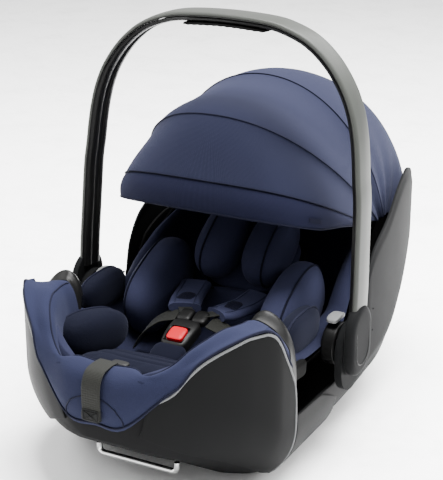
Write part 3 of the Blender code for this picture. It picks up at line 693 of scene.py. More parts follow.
    def sew(self, piece: Piece, points: Iterable[Sequence[float]], radius: float) -> Piece:
        """A cord or seam laid on a piece's surface.

        Args:
            piece: The piece that it lies on.
            points: Points near the surface. The cord passes through the places nearest to them.
            radius: Its radius, in metres.

        Returns:
            The new object, not yet named or painted.
        """
        laid = []
        for point in points:
            _, place, normal, _ = piece.closest_point_on_mesh(Vector(point))
            laid.append(place + normal * radius * 0.35)
        return self.tube(laid, radius, len(laid) * 2)

    @staticmethod
    def groove(piece: Piece, away: Callable[[Vector], float], depth: float = 0.0022,
               width: float = 0.0030) -> None:
        """Press a sewn channel into a pad.

        Args:
            piece: The pad.
            away: Distance from the channel's line at a place, in metres.
            depth: Depth of the channel, in metres.
            width: Half width of the channel, in metres.
        """
        normals = [vertex.normal.copy() for vertex in piece.data.vertices]
        for vertex, normal in zip(piece.data.vertices, normals):
            vertex.co -= normal * depth * math.exp(-(away(vertex.co) / width) ** 2)

    def inflate(self, piece: Piece, voxel: float, cap: float, pressure: float = 4.0) -> Piece:
        """Blow a closed pad up as cloth, so that it gets soft creases, with each point's move capped.

        Args:
            piece: The closed mesh.
            voxel: Remesh size, in metres.
            cap: Furthest that a point may move, in metres.
            pressure: Air pressure inside.

        Returns:
            The same object.
        """
        self._apply(piece, "REMESH", mode="VOXEL", voxel_size=voxel)
        self._blow(piece, cap, pressure)
        self._apply(piece, "SUBSURF", levels=1)
        return piece

    @staticmethod
    def _blow(piece: Piece, cap: float, pressure: float) -> None:
        """Run the cloth for some frames, and move each point where it went, up to the cap."""
        frames = 20
        rest = np.array([v.co[:] for v in piece.data.vertices])
        cloth = piece.modifiers.new("cloth", "CLOTH")
        cloth.settings.quality = 5
        cloth.settings.use_pressure = True
        cloth.settings.uniform_pressure_force = pressure
        cloth.settings.tension_stiffness = 12
        cloth.settings.compression_stiffness = 12
        cloth.settings.bending_stiffness = 0.4
        cloth.settings.effector_weights.gravity = 0.0
        cloth.collision_settings.use_collision = False
        cloth.point_cache.frame_start = 1
        cloth.point_cache.frame_end = frames
        for frame in range(1, frames + 1):
            bpy.context.scene.frame_set(frame)
        graph = bpy.context.evaluated_depsgraph_get()
        blown = piece.evaluated_get(graph).to_mesh()
        moved = np.array([v.co[:] for v in blown.vertices]) - rest
        piece.modifiers.remove(cloth)
        bpy.context.scene.frame_set(1)
        far = np.linalg.norm(moved, axis=1)
        scale = np.minimum(1.0, cap / np.maximum(far, 1e-9))
        piece.data.vertices.foreach_set("co", (rest + moved * scale[:, None]).ravel())
        piece.data.update()


# ---------------------------------------------------------------- shell
@dataclass(frozen=True)
class HullForm:
    """Outlines of the shell, each a table of (place along Y, value), and its walls, in metres.

    The plan is the half width, and every other table is a height. The outer face turns in
    towards the keel over the height turn, down to the share flat of the half width.
    """
    plan: Table = ((-0.305, 0.061), (-0.290, 0.095), (-0.260, 0.135), (-0.220, 0.168), (-0.180, 0.186),
                   (-0.140, 0.190), (0.0, 0.190), (0.100, 0.187), (0.200, 0.180), (0.300, 0.163),
                   (0.345, 0.142), (0.372, 0.115))
    keel: Table = ((-0.305, 0.100), (-0.288, 0.084), (-0.270, 0.071), (-0.235, 0.052), (-0.200, 0.030),
                   (-0.165, 0.007), (-0.145, 0.0), (0.110, 0.0), (0.170, 0.014), (0.220, 0.042),
                   (0.270, 0.082), (0.320, 0.132), (0.355, 0.180), (0.372, 0.215))
    crest: Table = ((-0.305, 0.149), (-0.299, 0.160), (-0.289, 0.176), (-0.281, 0.194), (-0.272, 0.208),
                    (-0.264, 0.216), (-0.244, 0.228), (-0.224, 0.235), (-0.208, 0.235), (-0.196, 0.229),
                    (-0.188, 0.218), (-0.176, 0.194), (-0.165, 0.173), (-0.154, 0.146), (-0.151, 0.120))
    tub_rim: Table = ((-0.305, 0.158), (-0.280, 0.170), (-0.240, 0.205), (-0.210, 0.214), (-0.190, 0.190),
                      (-0.170, 0.140), (-0.150, 0.098), (-0.020, 0.096), (0.030, 0.104), (0.070, 0.150),
                      (0.100, 0.205), (0.160, 0.228), (0.220, 0.234), (0.290, 0.236), (0.340, 0.240),
                      (0.372, 0.246))
    rear_top: Table = ((-0.149, 0.105), (-0.080, 0.102), (-0.055, 0.092), (-0.022, 0.076))
    wing_top: Table = ((0.034, 0.100), (0.046, 0.122), (0.058, 0.156), (0.068, 0.200), (0.099, 0.242),
                       (0.158, 0.271), (0.212, 0.306), (0.250, 0.317), (0.285, 0.308), (0.315, 0.285),
                       (0.338, 0.256), (0.346, 0.232))
    wing_bottom: Table = ((0.034, 0.066), (0.150, 0.068), (0.195, 0.076), (0.230, 0.104), (0.285, 0.134),
                          (0.330, 0.176), (0.346, 0.200))
    seat_floor: Table = ((-0.288, 0.158), (-0.250, 0.138), (-0.200, 0.118), (-0.120, 0.098), (-0.040, 0.080),
                         (0.030, 0.076), (0.100, 0.112), (0.200, 0.180), (0.290, 0.240), (0.340, 0.272))
    seat_rim: Table = ((-0.288, 0.166), (-0.240, 0.196), (-0.205, 0.204), (-0.170, 0.166), (-0.140, 0.122),
                       (-0.060, 0.120), (0.030, 0.132), (0.070, 0.172), (0.100, 0.212), (0.160, 0.246),
                       (0.220, 0.278), (0.290, 0.290), (0.340, 0.286))
    turn: float = 0.090
    flat: float = 0.56
    panel_lift: float = 0.015
    wall: float = 0.0026
    tub_wall: float = 0.004
    tub_inset: float = 0.0052
    seat_inset: float = 0.028
    back_y: float = 0.378
    front_ends: tuple[float, float] = (-0.3030, -0.1515)
    rear_ends: tuple[float, float] = (-0.1485, -0.022)
    wing_ends: tuple[float, float] = (0.034, 0.344)
    seat_ends: tuple[float, float] = (-0.288, 0.340)
    edge: float = 0.0009
    bar_y: float = -0.222
    bar_half: float = 0.058

    def face(self, y: float, z: float) -> float:
        """Half width of the outer face at a place along the hull and a height."""
        fall = max(0.0, 1.0 - max(0.0, z - smooth(self.keel, y)) / self.turn)
        return smooth(self.plan, y) * (self.flat + (1 - self.flat) * math.sqrt(1 - fall * fall))

    def half(self, y: float, z: float, inset: float = 0.0) -> float:
        """Half width drawn in by an inset square to the face.

        Args:
            y: Place along the hull.
            z: Height.
            inset: Distance in from the outer face.

        Returns:
            The half width, in metres.
        """
        here, near = self.face(y, z), 0.002
        slope_y = (self.face(y + near, z) - self.face(y - near, z)) / (2 * near)
        slope_z = (self.face(y, z + near) - here) / near
        return here - inset * min(math.sqrt(1 + slope_y ** 2 + slope_z ** 2), 3.5)


class Shell:
    """Rocker tub, its side panels, the tall wings beside the head and the bar under the nose."""

    def __init__(self, shop: Workshop, form: HullForm) -> None:
        """Keep the workshop and the sizes."""
        self._shop, self._form = shop, form

    def build(self) -> None:
        """Make every hard piece of the shell."""
        self._tub()
        for side, sign in SIDES:
            self._front_panel(side, sign)
            self._rear_panel(side, sign)
            self._wing(side, sign)
        self._back()
        self._seat_shell()
        self._bar()

    def _tub(self) -> None:
        """Rocker tub, open at the top, its nose closed down to the keel."""
        form = self._form
        first = form.plan[0][0] + form.tub_inset

        def surface(u: float, v: float) -> Point:
            """Place round the tub's section and along it."""
            y = mix(first, form.keel[-1][0], max(0.0, (v - 0.04) / 0.96) ** 1.15)
            low = smooth(form.keel, y)
            high = smooth(form.tub_rim, y)
            if v < 0.04:
                low = mix(high - 0.010, low, v / 0.04)
            share = abs(2 * u - 1)
            z = mix(low, high, max(0.0, (share - 0.30) / 0.70) ** 1.6)
            half = form.half(y, smooth(form.keel, y) + z - low, form.tub_inset)
            return (math.copysign(half * min(1.0, share / 0.30), u - 0.5), y, z)

        made = self._shop.sheet(surface, (64, 72), form.tub_wall, (0, 0.03, 0.16), bevel=0.001)
        self._shop.finish(made, "base_tub_moulding", TUB, "shell", ["base_tub"])

    def _skin(self, sign: int, ends: tuple[float, float], bottom: Edge, top: Edge, counts: tuple[int, int],
              relief: Callable[[float, float], float] = lambda u, v: 0.0) -> Piece:
        """A panel that lies on the hull's outer face.

        Args:
            sign: 1 for the right side, -1 for the left.
            ends: Where it begins and ends along Y.
            bottom: Height of its lower edge at a place along Y.
            top: Height of its upper edge.
            counts: Faces along and up.
            relief: How far it stands out at two shares from 0 to 1.

        Returns:
            The new object, not yet named or painted.
        """
        form = self._form
        low, high = ends

        def surface(u: float, v: float) -> Point:
            """Place along and up the panel."""
            y = mix(low, high, u)
            floor = bottom(y)
            z = mix(floor, max(top(y), floor + 0.006), v)
            return (sign * (form.half(y, z) + relief(u, v)), y, z)

        return self._shop.sheet(surface, counts, form.wall, (0, (low + high) / 2, 0.14), bevel=form.edge)

    def _front_panel(self, side: str, sign: int) -> None:
        """Panel beside the nose, with a bead along its crest and down its rear edge, coloured pale as a painted
        highlight.
        """
        form, shop = self._form, self._shop
        made = self._skin(sign, form.front_ends, lambda y: smooth(form.keel, y) + form.panel_lift,
                          lambda y: smooth(form.crest, y), (56, 40))
        shop.finish(made, f"front_panel_skin_{side}", PANEL, "shell", [f"front_side_panel_{side}"])
        sunk = 0.0010
        first, last = form.front_ends
        crest = [mix(first + 0.0015, last - 0.0005, i / 48) for i in range(49)]
        places = [(y, smooth(form.crest, y)) for y in crest]
        places += [(last, z) for z in (0.118, 0.090, 0.060, 0.030, 0.017)]
        # The bead's pale colour is a painted highlight along the crest and rear edge.
        bead = shop.tube([(sign * (form.half(y, z) - sunk), y, z) for y, z in places], 0.0019, 160)
        shop.finish(bead, f"front_panel_bead_{side}", PANEL_CREST_HIGHLIGHT, "shell")

    def _rear_panel(self, side: str, sign: int) -> None:
        """Low panel under the hub."""
        form = self._form
        made = self._skin(sign, form.rear_ends, lambda y: form.panel_lift, lambda y: smooth(form.rear_top, y),
                          (36, 20))
        self._shop.finish(made, f"rear_panel_skin_{side}", PANEL, "shell", [f"rear_side_panel_{side}"])

    def _wing(self, side: str, sign: int) -> None:
        """Tall panel beside the head, raised inside its margin, with vent dots near the hub."""
        form, shop = self._form, self._shop

        def relief(u: float, v: float) -> float:
            """Height of the raised field."""
            inner = ease(0.10, 0.17, u) * ease(0.0, 0.10, 1 - v) * ease(0.05, 0.12, v)
            return 0.0022 * inner

        made = self._skin(sign, form.wing_ends, lambda y: smooth(form.wing_bottom, y),
                          lambda y: smooth(form.wing_top, y), (72, 44), relief)
        shop.finish(made, f"wing_skin_{side}", WING, "shell", [f"wing_panel_{side}"])
        dots = []
        for row in range(6):
            for column in range(2 + row % 2 + row // 3):
                y, z = 0.052 + 0.014 * column + 0.004 * (row % 2), 0.078 + 0.016 * row
                x = sign * (form.half(y, z) + 0.0012)
                dots.append(shop.block((x, y, z), (0.0022, 0.0013, 0.0011), power=2.2, cuts=3))
        shop.finish(shop.join(dots), f"wing_vents_{side}", TUB, "shell")

    def _back(self) -> None:
        """Plate behind the head, a little rounded, with the release pull on it."""
        form = self._form
        half = form.plan[-1][1] - 0.006
        bottom, top = 0.192, 0.288

        def surface(u: float, v: float) -> Point:
            """Place across and up the plate."""
            y = form.back_y - 0.003 * (2 * u - 1) ** 2
            return (mix(-half, half, u), y, mix(bottom, top, v) - 0.010 * (2 * u - 1) ** 6 * v)

        made = self._shop.sheet(surface, (32, 16), form.wall, (0, 0.2, 0.24), bevel=form.edge)
        self._shop.finish(made, "back_skin", WING, "shell", ["back_panel"])
        lever = self._shop.block((0, form.back_y + 0.0066, 0.226), (0.042, 0.006, 0.011), power=4.5)
        self._shop.finish(lever, "release_pull", BLACK, "release_lever", ["release_lever"])

    def _seat_shell(self) -> None:
        """Bucket moulding inside the tub."""
        form = self._form

        def surface(u: float, v: float) -> Point:
            """Place round the bucket's section and along it."""
            y = mix(*form.seat_ends, v)
            low = smooth(form.seat_floor, y)
            high = max(smooth(form.seat_rim, y), low + 0.004)
            share = abs(2 * u - 1)
            z = mix(low, high, max(0.0, (share - 0.3) / 0.7) ** 1.6)
            half = form.face(y, smooth(form.keel, y) + z - low) - form.seat_inset
            return (math.copysign(half * min(1.0, share / 0.3), u - 0.5), y, z)

        made = self._shop.sheet(surface, (48, 56), 0.003, (0, 0.03, 0.3), bevel=form.edge)
        self._shop.finish(made, "seat_shell_moulding", TUB, "shell", ["seat_shell"])

    def _bar(self) -> None:
        """Bright bar under the nose, bent up at both ends."""
        y, half, bend = self._form.bar_y, self._form.bar_half, 0.006
        top = smooth(self._form.keel, y) - 0.003
        low = top - 0.014
        right = [(half - bend, y, low), (half - bend * 0.3, y, low + bend * 0.3), (half, y, low + bend),
                 (half, y, top)]
        left = [(-x, b, z) for x, b, z in reversed(right)]
        made = self._shop.tube(left + right, 0.004, straight=True)
        self._shop.finish(made, "docking_bar_plated", STEEL, "shell", ["docking_bar"])


# ---------------------------------------------------------------- handle
@dataclass(frozen=True)
class HandleForm:
    """Sizes of the carry handle and its hubs, in metres, and its lean towards the head.

    Start and top are heights above the pivot, drawn is how far the hub is drawn out, and face
    is where the hub begins.
    """
    pivot: Point = (0.0, -0.010, 0.148)
    lean: float = math.radians(5.0)
    half: float = 0.208
    top: float = 0.412
    start: float = 0.042
    depth: float = 0.040
    thick: float = 0.013
    hub: float = 0.035
    drawn: float = 0.026
    boss: float = 0.020
    face: float = 0.1925


class Handle:
    """Carry handle with its dark channel, rubber grip, turning hubs and release buttons."""

    def __init__(self, shop: Workshop, form: HandleForm) -> None:
        """Keep the workshop and the sizes."""
        self._shop, self._form = shop, form

    def _on(self, x: float, up: float, out: float = 0.0) -> Vector:
        """Place in the leaning plane of the handle: across, above the pivot, and out of the plane."""
        pivot = self._form.pivot
        return Vector((x, pivot[1] + up * math.tan(self._form.lean) + out, pivot[2] + up))

    def build(self) -> None:
        """Make the handle and both hubs."""
        self._arch(self._track())
        self._grip()
        for side, sign in SIDES:
            self._hub(side, sign)
            self._knuckle(side, sign)

    def _track(self) -> Track:
        """Middle line of the arch, from one hub over the top to the other."""
        form = self._form
        top = form.top
        drops = ((0.0, form.start), (0.0005, 0.082), (0.0020, 0.122), (0.0045, 0.190), (0.0080, top - 0.190),
                 (0.0110, top - 0.160), (0.0150, top - 0.133), (0.0220, top - 0.105), (0.0350, top - 0.076),
                 (0.0570, top - 0.046), (0.0850, top - 0.0225), (0.1160, top - 0.0090), (0.1480, top - 0.0025))
        right = [self._on(form.half - inset, up) for inset, up in drops]
        left = [self._on(inset - form.half, up) for inset, up in reversed(drops)]
        return Track([*right, self._on(0.0, top), *left])

    def _arch(self, track: Track) -> None:
        """Outer shell and inner channel of the arch, with a dark seam where they meet."""
        form, shop = self._form, self._shop
        deep, thick = form.depth / 2, form.thick / 2
        outer = ((deep, 0.0006), (deep, thick * 0.45), (deep - 0.0018, thick * 0.86), (deep - 0.006, thick),
                 (0.0, thick + 0.0008), (-deep + 0.006, thick), (-deep + 0.0018, thick * 0.86),
                 (-deep, thick * 0.45), (-deep, 0.0006), (0.0, 0.0006))
        inner = ((-deep + 0.001, -0.0004), (-deep + 0.001, -thick * 0.35), (-deep + 0.003, -thick * 0.80),
                 (-deep + 0.008, -thick), (-0.006, -thick), (-0.004, -thick + 0.0016), (0.004, -thick + 0.0016),
                 (0.006, -thick), (deep - 0.008, -thick), (deep - 0.003, -thick * 0.80),
                 (deep - 0.001, -thick * 0.35), (deep - 0.001, -0.0004), (0.0, -0.0004))
        shell = shop.sweep(track, outer, (0, -1, 0), 220)
        shop.finish(shell, "handle_outer", HANDLE, "handle", ["handle_shell"], 40)
        channel = shop.sweep(track, inner, (0, -1, 0), 220)
        shop.finish(channel, "handle_inner", BLACK, "handle", ["handle_channel"], 40)
        seams = []
        for out in (-deep + 0.0002, deep - 0.0002):
            line = [track.at(i / 60) + Vector((0, out, out * math.tan(-form.lean))) for i in range(61)]
            seams.append(shop.tube(line, 0.0007, 240))
        shop.finish(shop.join(seams), "handle_seams", BLACK, "handle")

    def _grip(self) -> None:
        """Rubber under the top of the arch, ridged below."""
        form, shop = self._form, self._shop
        under = form.top - form.thick / 2 - 0.0026

        def place(p: Vector) -> Vector:
            """Place of a point of the unit ball."""
            x = 0.062 * p.x
            ridges = 0.0004 * math.sin(p.x * 40) * (p.z < 0)
            return self._on(x, under - 0.0034 * p.x ** 2 + 0.0022 * p.z + ridges, 0.0185 * p.y)

        made = shop.solid(place, 30, 5.0)
        shop.finish(made, "handle_grip_rubber", GRIP, "handle", ["handle_grip"])

    def _capsule(self, radius: float, up: float, down: float) -> Callable[[float], tuple[float, float]]:
        """Outline round the pivot: a circle drawn out upwards and downwards.

        Args:
            radius: Radius of its round ends.
            up: How far the upper half is lifted.
            down: How far the lower half is dropped.

        Returns:
            The rim's (y, z) for a share from 0 to 1.
        """
        pivot = self._form.pivot

        def outline(u: float) -> tuple[float, float]:
            """Place on the rim, from the top round."""
            angle = 2 * math.pi * (u + 0.25)
            straight = up if math.sin(angle) >= 0 else -down
            return pivot[1] + radius * math.cos(angle), pivot[2] + straight + radius * math.sin(angle)

        return outline

    def _hub(self, side: str, sign: int) -> None:
        """Fixed housing on the shell, the cap that turns with the handle, and the cap's seam."""
        form, shop = self._form, self._shop
        y, z = form.pivot[1:]
        low, high = form.face + 0.0012, form.face + 0.012
        profile = ((0.0, low), (0.90, low), (0.985, low + 0.001), (1.0, low + 0.003), (1.0, high - 0.003),
                   (0.985, high - 0.0008), (0.92, high), (0.0, high))
        housing = shop.plate(self._capsule(form.hub, 0.0, form.drawn), (y, z - form.drawn / 2),
                             [(scale, sign * x) for scale, x in profile])
        shop.finish(housing, f"hub_housing_{side}", WING, "shell", [f"hub_plate_{side}"], 35)
        low, high = form.face + 0.0132, form.face + 0.0262
        profile = ((0.0, low), (0.94, low), (0.99, low + 0.0008), (1.0, low + 0.002), (1.0, high - 0.007),
                   (0.965, high - 0.003), (0.88, high - 0.0008), (0.70, high), (0.0, high))
        cap = shop.plate(self._capsule(form.hub - 0.002, form.drawn, 0.006), (y, z + 0.010),
                         [(scale, sign * x) for scale, x in profile])
        shop.finish(cap, f"hub_cap_{side}", WING, "handle",
                    [f"handle_hub_cover_{side}", f"handle_axle_{side}"], 35)
        turns = [math.radians(d) for d in range(180, 361, 12)]
        bend = [(high + 0.0001, y + 0.021 * math.cos(a), z + 0.021 * math.sin(a) - 0.002) for a in turns]
        seam = [(high - 0.0006, y - 0.0195, z + 0.030), *bend, (high - 0.0006, y + 0.0225, z + 0.030)]
        seam = [(sign * a, b, c) for a, b, c in seam]
        shop.finish(shop.tube(seam, 0.0006, 90), f"hub_seam_{side}", BLACK, "handle")

    def _knuckle(self, side: str, sign: int) -> None:
        """Round boss on the inner side of the hub, with the arched button over it."""
        form, shop = self._form, self._shop
        _, y, z = form.pivot
        face = form.face - 0.0031
        back = face - form.boss
        profile = ((0.0, face), (0.90, face), (0.99, face - 0.002), (1.0, face - 0.005), (1.0, back + 0.005),
                   (0.96, back + 0.0015), (0.80, back), (0.0, back))
        knuckle = shop.plate(self._capsule(0.029, 0.0, 0.0), (y, z),
                             [(scale, sign * x) for scale, x in profile])
        shop.finish(knuckle, f"handle_knuckle_cap_{side}", BLACK, "handle", [f"handle_knuckle_{side}"], 35)
        middle = sign * (face - form.boss / 2)

        def place(p: Vector) -> Vector:
            """Place of a point of the unit ball, bent down over the boss at both ends."""
            along = 0.0165 * p.y
            return Vector((middle + 0.0085 * p.x, y + along, z + 0.0376 - 9.0 * along * along + 0.0034 * p.z))

        button = shop.solid(place, 14, 4.0)
        body = f"handle_button_{side}"
        shop.finish(button, f"handle_release_{side}", BUTTON, body, [body])


# ---------------------------------------------------------------- canopy
@dataclass(frozen=True)
class CanopyForm:
    """Folding canopy: hoop angles above the foot direction, in degrees, and its reach in metres."""
    pivot: Point = (0.0, 0.180, 0.240)
    half: float = 0.170
    reach: Table = ((15.0, 0.248), (27.0, 0.260), (45.0, 0.280), (60.0, 0.252), (78.0, 0.226), (107.0, 0.220),
                    (130.0, 0.223), (158.0, 0.214))
    power: Table = ((15.0, 4.2), (27.0, 3.6), (45.0, 2.2), (78.0, 2.05), (107.0, 2.1), (158.0, 2.6))
    visor_low: float = 18.0
    visor: float = 27.0
    front: float = 45.0
    middle: float = 78.0
    back: float = 158.0
    end: float = 0.93
    wall: float = 0.0014
    gap: float = 0.06


class Canopy:
    """Sun canopy: three hoops that turn about one axis, the cloth between them and the padded visor."""

    spare = 1.01

    def __init__(self, shop: Workshop, form: CanopyForm) -> None:
        """Keep the workshop and the sizes."""
        self._shop, self._form = shop, form

    def _at(self, angle: float, share: float, out: float = 0.0) -> Vector:
        """Place on the canopy.

        Args:
            angle: Angle of the hoop above the foot direction, in degrees.
            share: From -1 at the left pivot to 1 at the right one.
            out: Distance out from the surface.

        Returns:
            The place, in metres.
        """
        form = self._form
        reach, power = smooth(form.reach, angle) + out, smooth(form.power, angle)
        swing = share * math.pi / 2
        x = (form.half + out) * power_of(math.sin(swing), 2 / power)
        radius = reach * abs(math.cos(swing)) ** (2 / power)
        lift = math.radians(angle)
        return Vector(form.pivot) + Vector((x, -radius * math.cos(lift), radius * math.sin(lift)))

    def build(self) -> None:
        """Make the hoops, cloth panels, piping and visor."""
        form, shop = self._form, self._shop
        for name, angle in (("visor", form.visor), ("front", form.front), ("middle", form.middle)):
            body = f"canopy_{name}"
            path = [self._at(angle, mix(-form.end, form.end, i / 48), -0.0065) for i in range(49)]
            bar = shop.tube(path, 0.0028, 120)
            shop.finish(bar, f"canopy_hoop_bar_{name}", BLACK, body, [f"canopy_hoop_{name}"])
            piping = [self._at(angle, mix(-form.end, form.end, i / 60), 0.0007) for i in range(61)]
            shop.finish(shop.tube(piping, 0.0008, 150), f"canopy_piping_{name}", PIPING, body)
        self._panel("front", form.visor, form.front, ("canopy_front", "canopy_visor"), 0.0030)
        self._panel("middle", form.front, form.middle, ("canopy_middle", "canopy_front"), 0.0065)
        self._panel("rear", form.middle, form.back, ("shell", "canopy_middle"), 0.0060, 0.0016)
        self._skirt()
        self._visor()

    def _skirt(self) -> None:
        """Cloth that closes the gap between the rear panel's lower edge and the shell."""
        form, shop = self._form, self._shop

        def surface(u: float, v: float) -> Vector:
            """Place across and down the skirt."""
            share = mix(-form.end, form.end, u)
            return self._at(mix(form.back - 0.2, form.back + 17.0, v), share, -0.030 * v ** 0.8 - 0.0004)

        made = shop.sheet(surface, (100, 12), form.wall, form.pivot)
        width = length_of([surface(i / 40, 0.3) for i in range(41)])
        shop.finish(made, "canopy_cloth_skirt", CANOPY, "shell")

    def _panel(self, name: str, low: float, high: float, bodies: tuple[str, str], sag: float,
               pleat: float = 0.0) -> None:
        """One cloth panel between two hoops.

        Args:
            name: Which panel it is.
            low: Angle of the hoop ahead of it, in degrees.
            high: Angle of the hoop behind it.
            bodies: Not used.
            sag: How far its middle dips between the hoops. A deep one is slightly rippled.
            pleat: Depth of the pleats by the pivots.
        """
        form, shop = self._form, self._shop
        ripple = 0.0012 if sag > 0.003 else 0.0

        def surface(u: float, v: float) -> Vector:
            """Place across the panel and from its front hoop to its rear one."""
            angle = mix(low + form.gap, high - form.gap, v)
            share = mix(-form.end, form.end, u)
            dip = sag * math.sin(math.pi * v) * (1 - 0.6 * abs(share) ** 3)
            edge = ease(0.45, 0.95, abs(share))
            fan = pleat * edge * math.sin(v * math.pi * 7.0 + 1.2 * math.copysign(1, share))
            taut = ripple * edge * math.sin(v * math.pi * 3 + share * 6)
            return self._at(angle, share, fan + taut - dip)

        made = shop.sheet(surface, (120, max(20, int((high - low) * 0.8))), form.wall, form.pivot)
        width = length_of([surface(i / 40, 0.5) for i in range(41)])
        tall = length_of([surface(0.5, i / 20) for i in range(21)])
        shop.finish(made, f"canopy_cloth_{name}", CANOPY, None, [f"canopy_{name}_panel"])
        tuple(self._at(high, 0.0))
        tuple(self._at(low, 0.0))
        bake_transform(made)

    def _visor(self) -> None:
        """Padded visor band with piped edges and a blank sewn label."""
        form, shop = self._form, self._shop

        def surface(u: float, v: float) -> Vector:
            """Place across the band and from its free edge to the hoop."""
            share = mix(-form.end, form.end, u)
            low = form.visor_low + 5.5 * ease(0.55, 1.0, abs(share))
            swell = 0.0030 * math.sin(math.pi * v) ** 0.7
            return self._at(mix(low, form.visor - 0.3, v), share, swell - 0.0005)

        def on_band(u: float, v: float) -> Vector:
            """Place across and up the label."""
            return surface(mix(0.765, 0.815, u), mix(0.22, 0.40, v)) + Vector((0.0008, -0.0022, 0.001))

        made = shop.sheet(surface, (120, 18), 0.0042, form.pivot, bevel=0.0012)
        shop.finish(made, "canopy_visor_band", VISOR_PAINTED_SHADE, "canopy_visor", ["canopy_visor"])
        edge = shop.tube([surface(i / 60, 0.0) for i in range(61)], 0.0016, 160)
        shop.finish(edge, "canopy_visor_piping", PIPING, "canopy_visor")
        label = shop.sheet(on_band, (10, 4), 0.0008, form.pivot, bevel=0.0002)
        shop.finish(label, "canopy_visor_label", PIPING, "canopy_visor")


# ---------------------------------------------------------------- cover and lining
@dataclass(frozen=True)
class CoverForm:
    """Padded cover over the front rim, its bindings and the lining of the seat, in metres.

    A row of the cover lists (distance inwards, height) from its outer edge to its inner edge.
    """
    places: Sequence[float] = (-0.162, -0.176, -0.190, -0.204, -0.222, -0.242, -0.260, -0.275, -0.288, -0.297)
    top: Table = ((-0.305, 0.189), (-0.289, 0.196), (-0.270, 0.209), (-0.244, 0.224), (-0.217, 0.232),
                  (-0.190, 0.235), (-0.177, 0.234), (-0.162, 0.229))
    reach: Table = ((-0.305, 0.016), (-0.275, 0.026), (-0.240, 0.034), (-0.200, 0.044), (-0.162, 0.050))
    nose: Table = ((-0.010, 0.122), (-0.014, 0.150), (-0.008, 0.180), (0.010, 0.191), (0.026, 0.184),
                   (0.036, 0.166), (0.042, 0.146))
    nose_places: Sequence[float] = (0.040, 0.0, -0.040)
    binding: Table = ((0.000, 0.148), (0.001, 0.170), (0.006, 0.199), (0.018, 0.2235), (0.034, 0.2375),
                      (0.049, 0.2390), (0.061, 0.226), (0.066, 0.205))
    lining_top: Table = ((-0.285, 0.178), (-0.240, 0.206), (-0.205, 0.212), (-0.160, 0.196), (-0.135, 0.166),
                         (-0.060, 0.158), (0.030, 0.166), (0.060, 0.190), (0.100, 0.216), (0.160, 0.236),
                         (0.220, 0.262), (0.290, 0.280), (0.338, 0.282))
    wall: float = 0.010
    lining: float = 0.0115


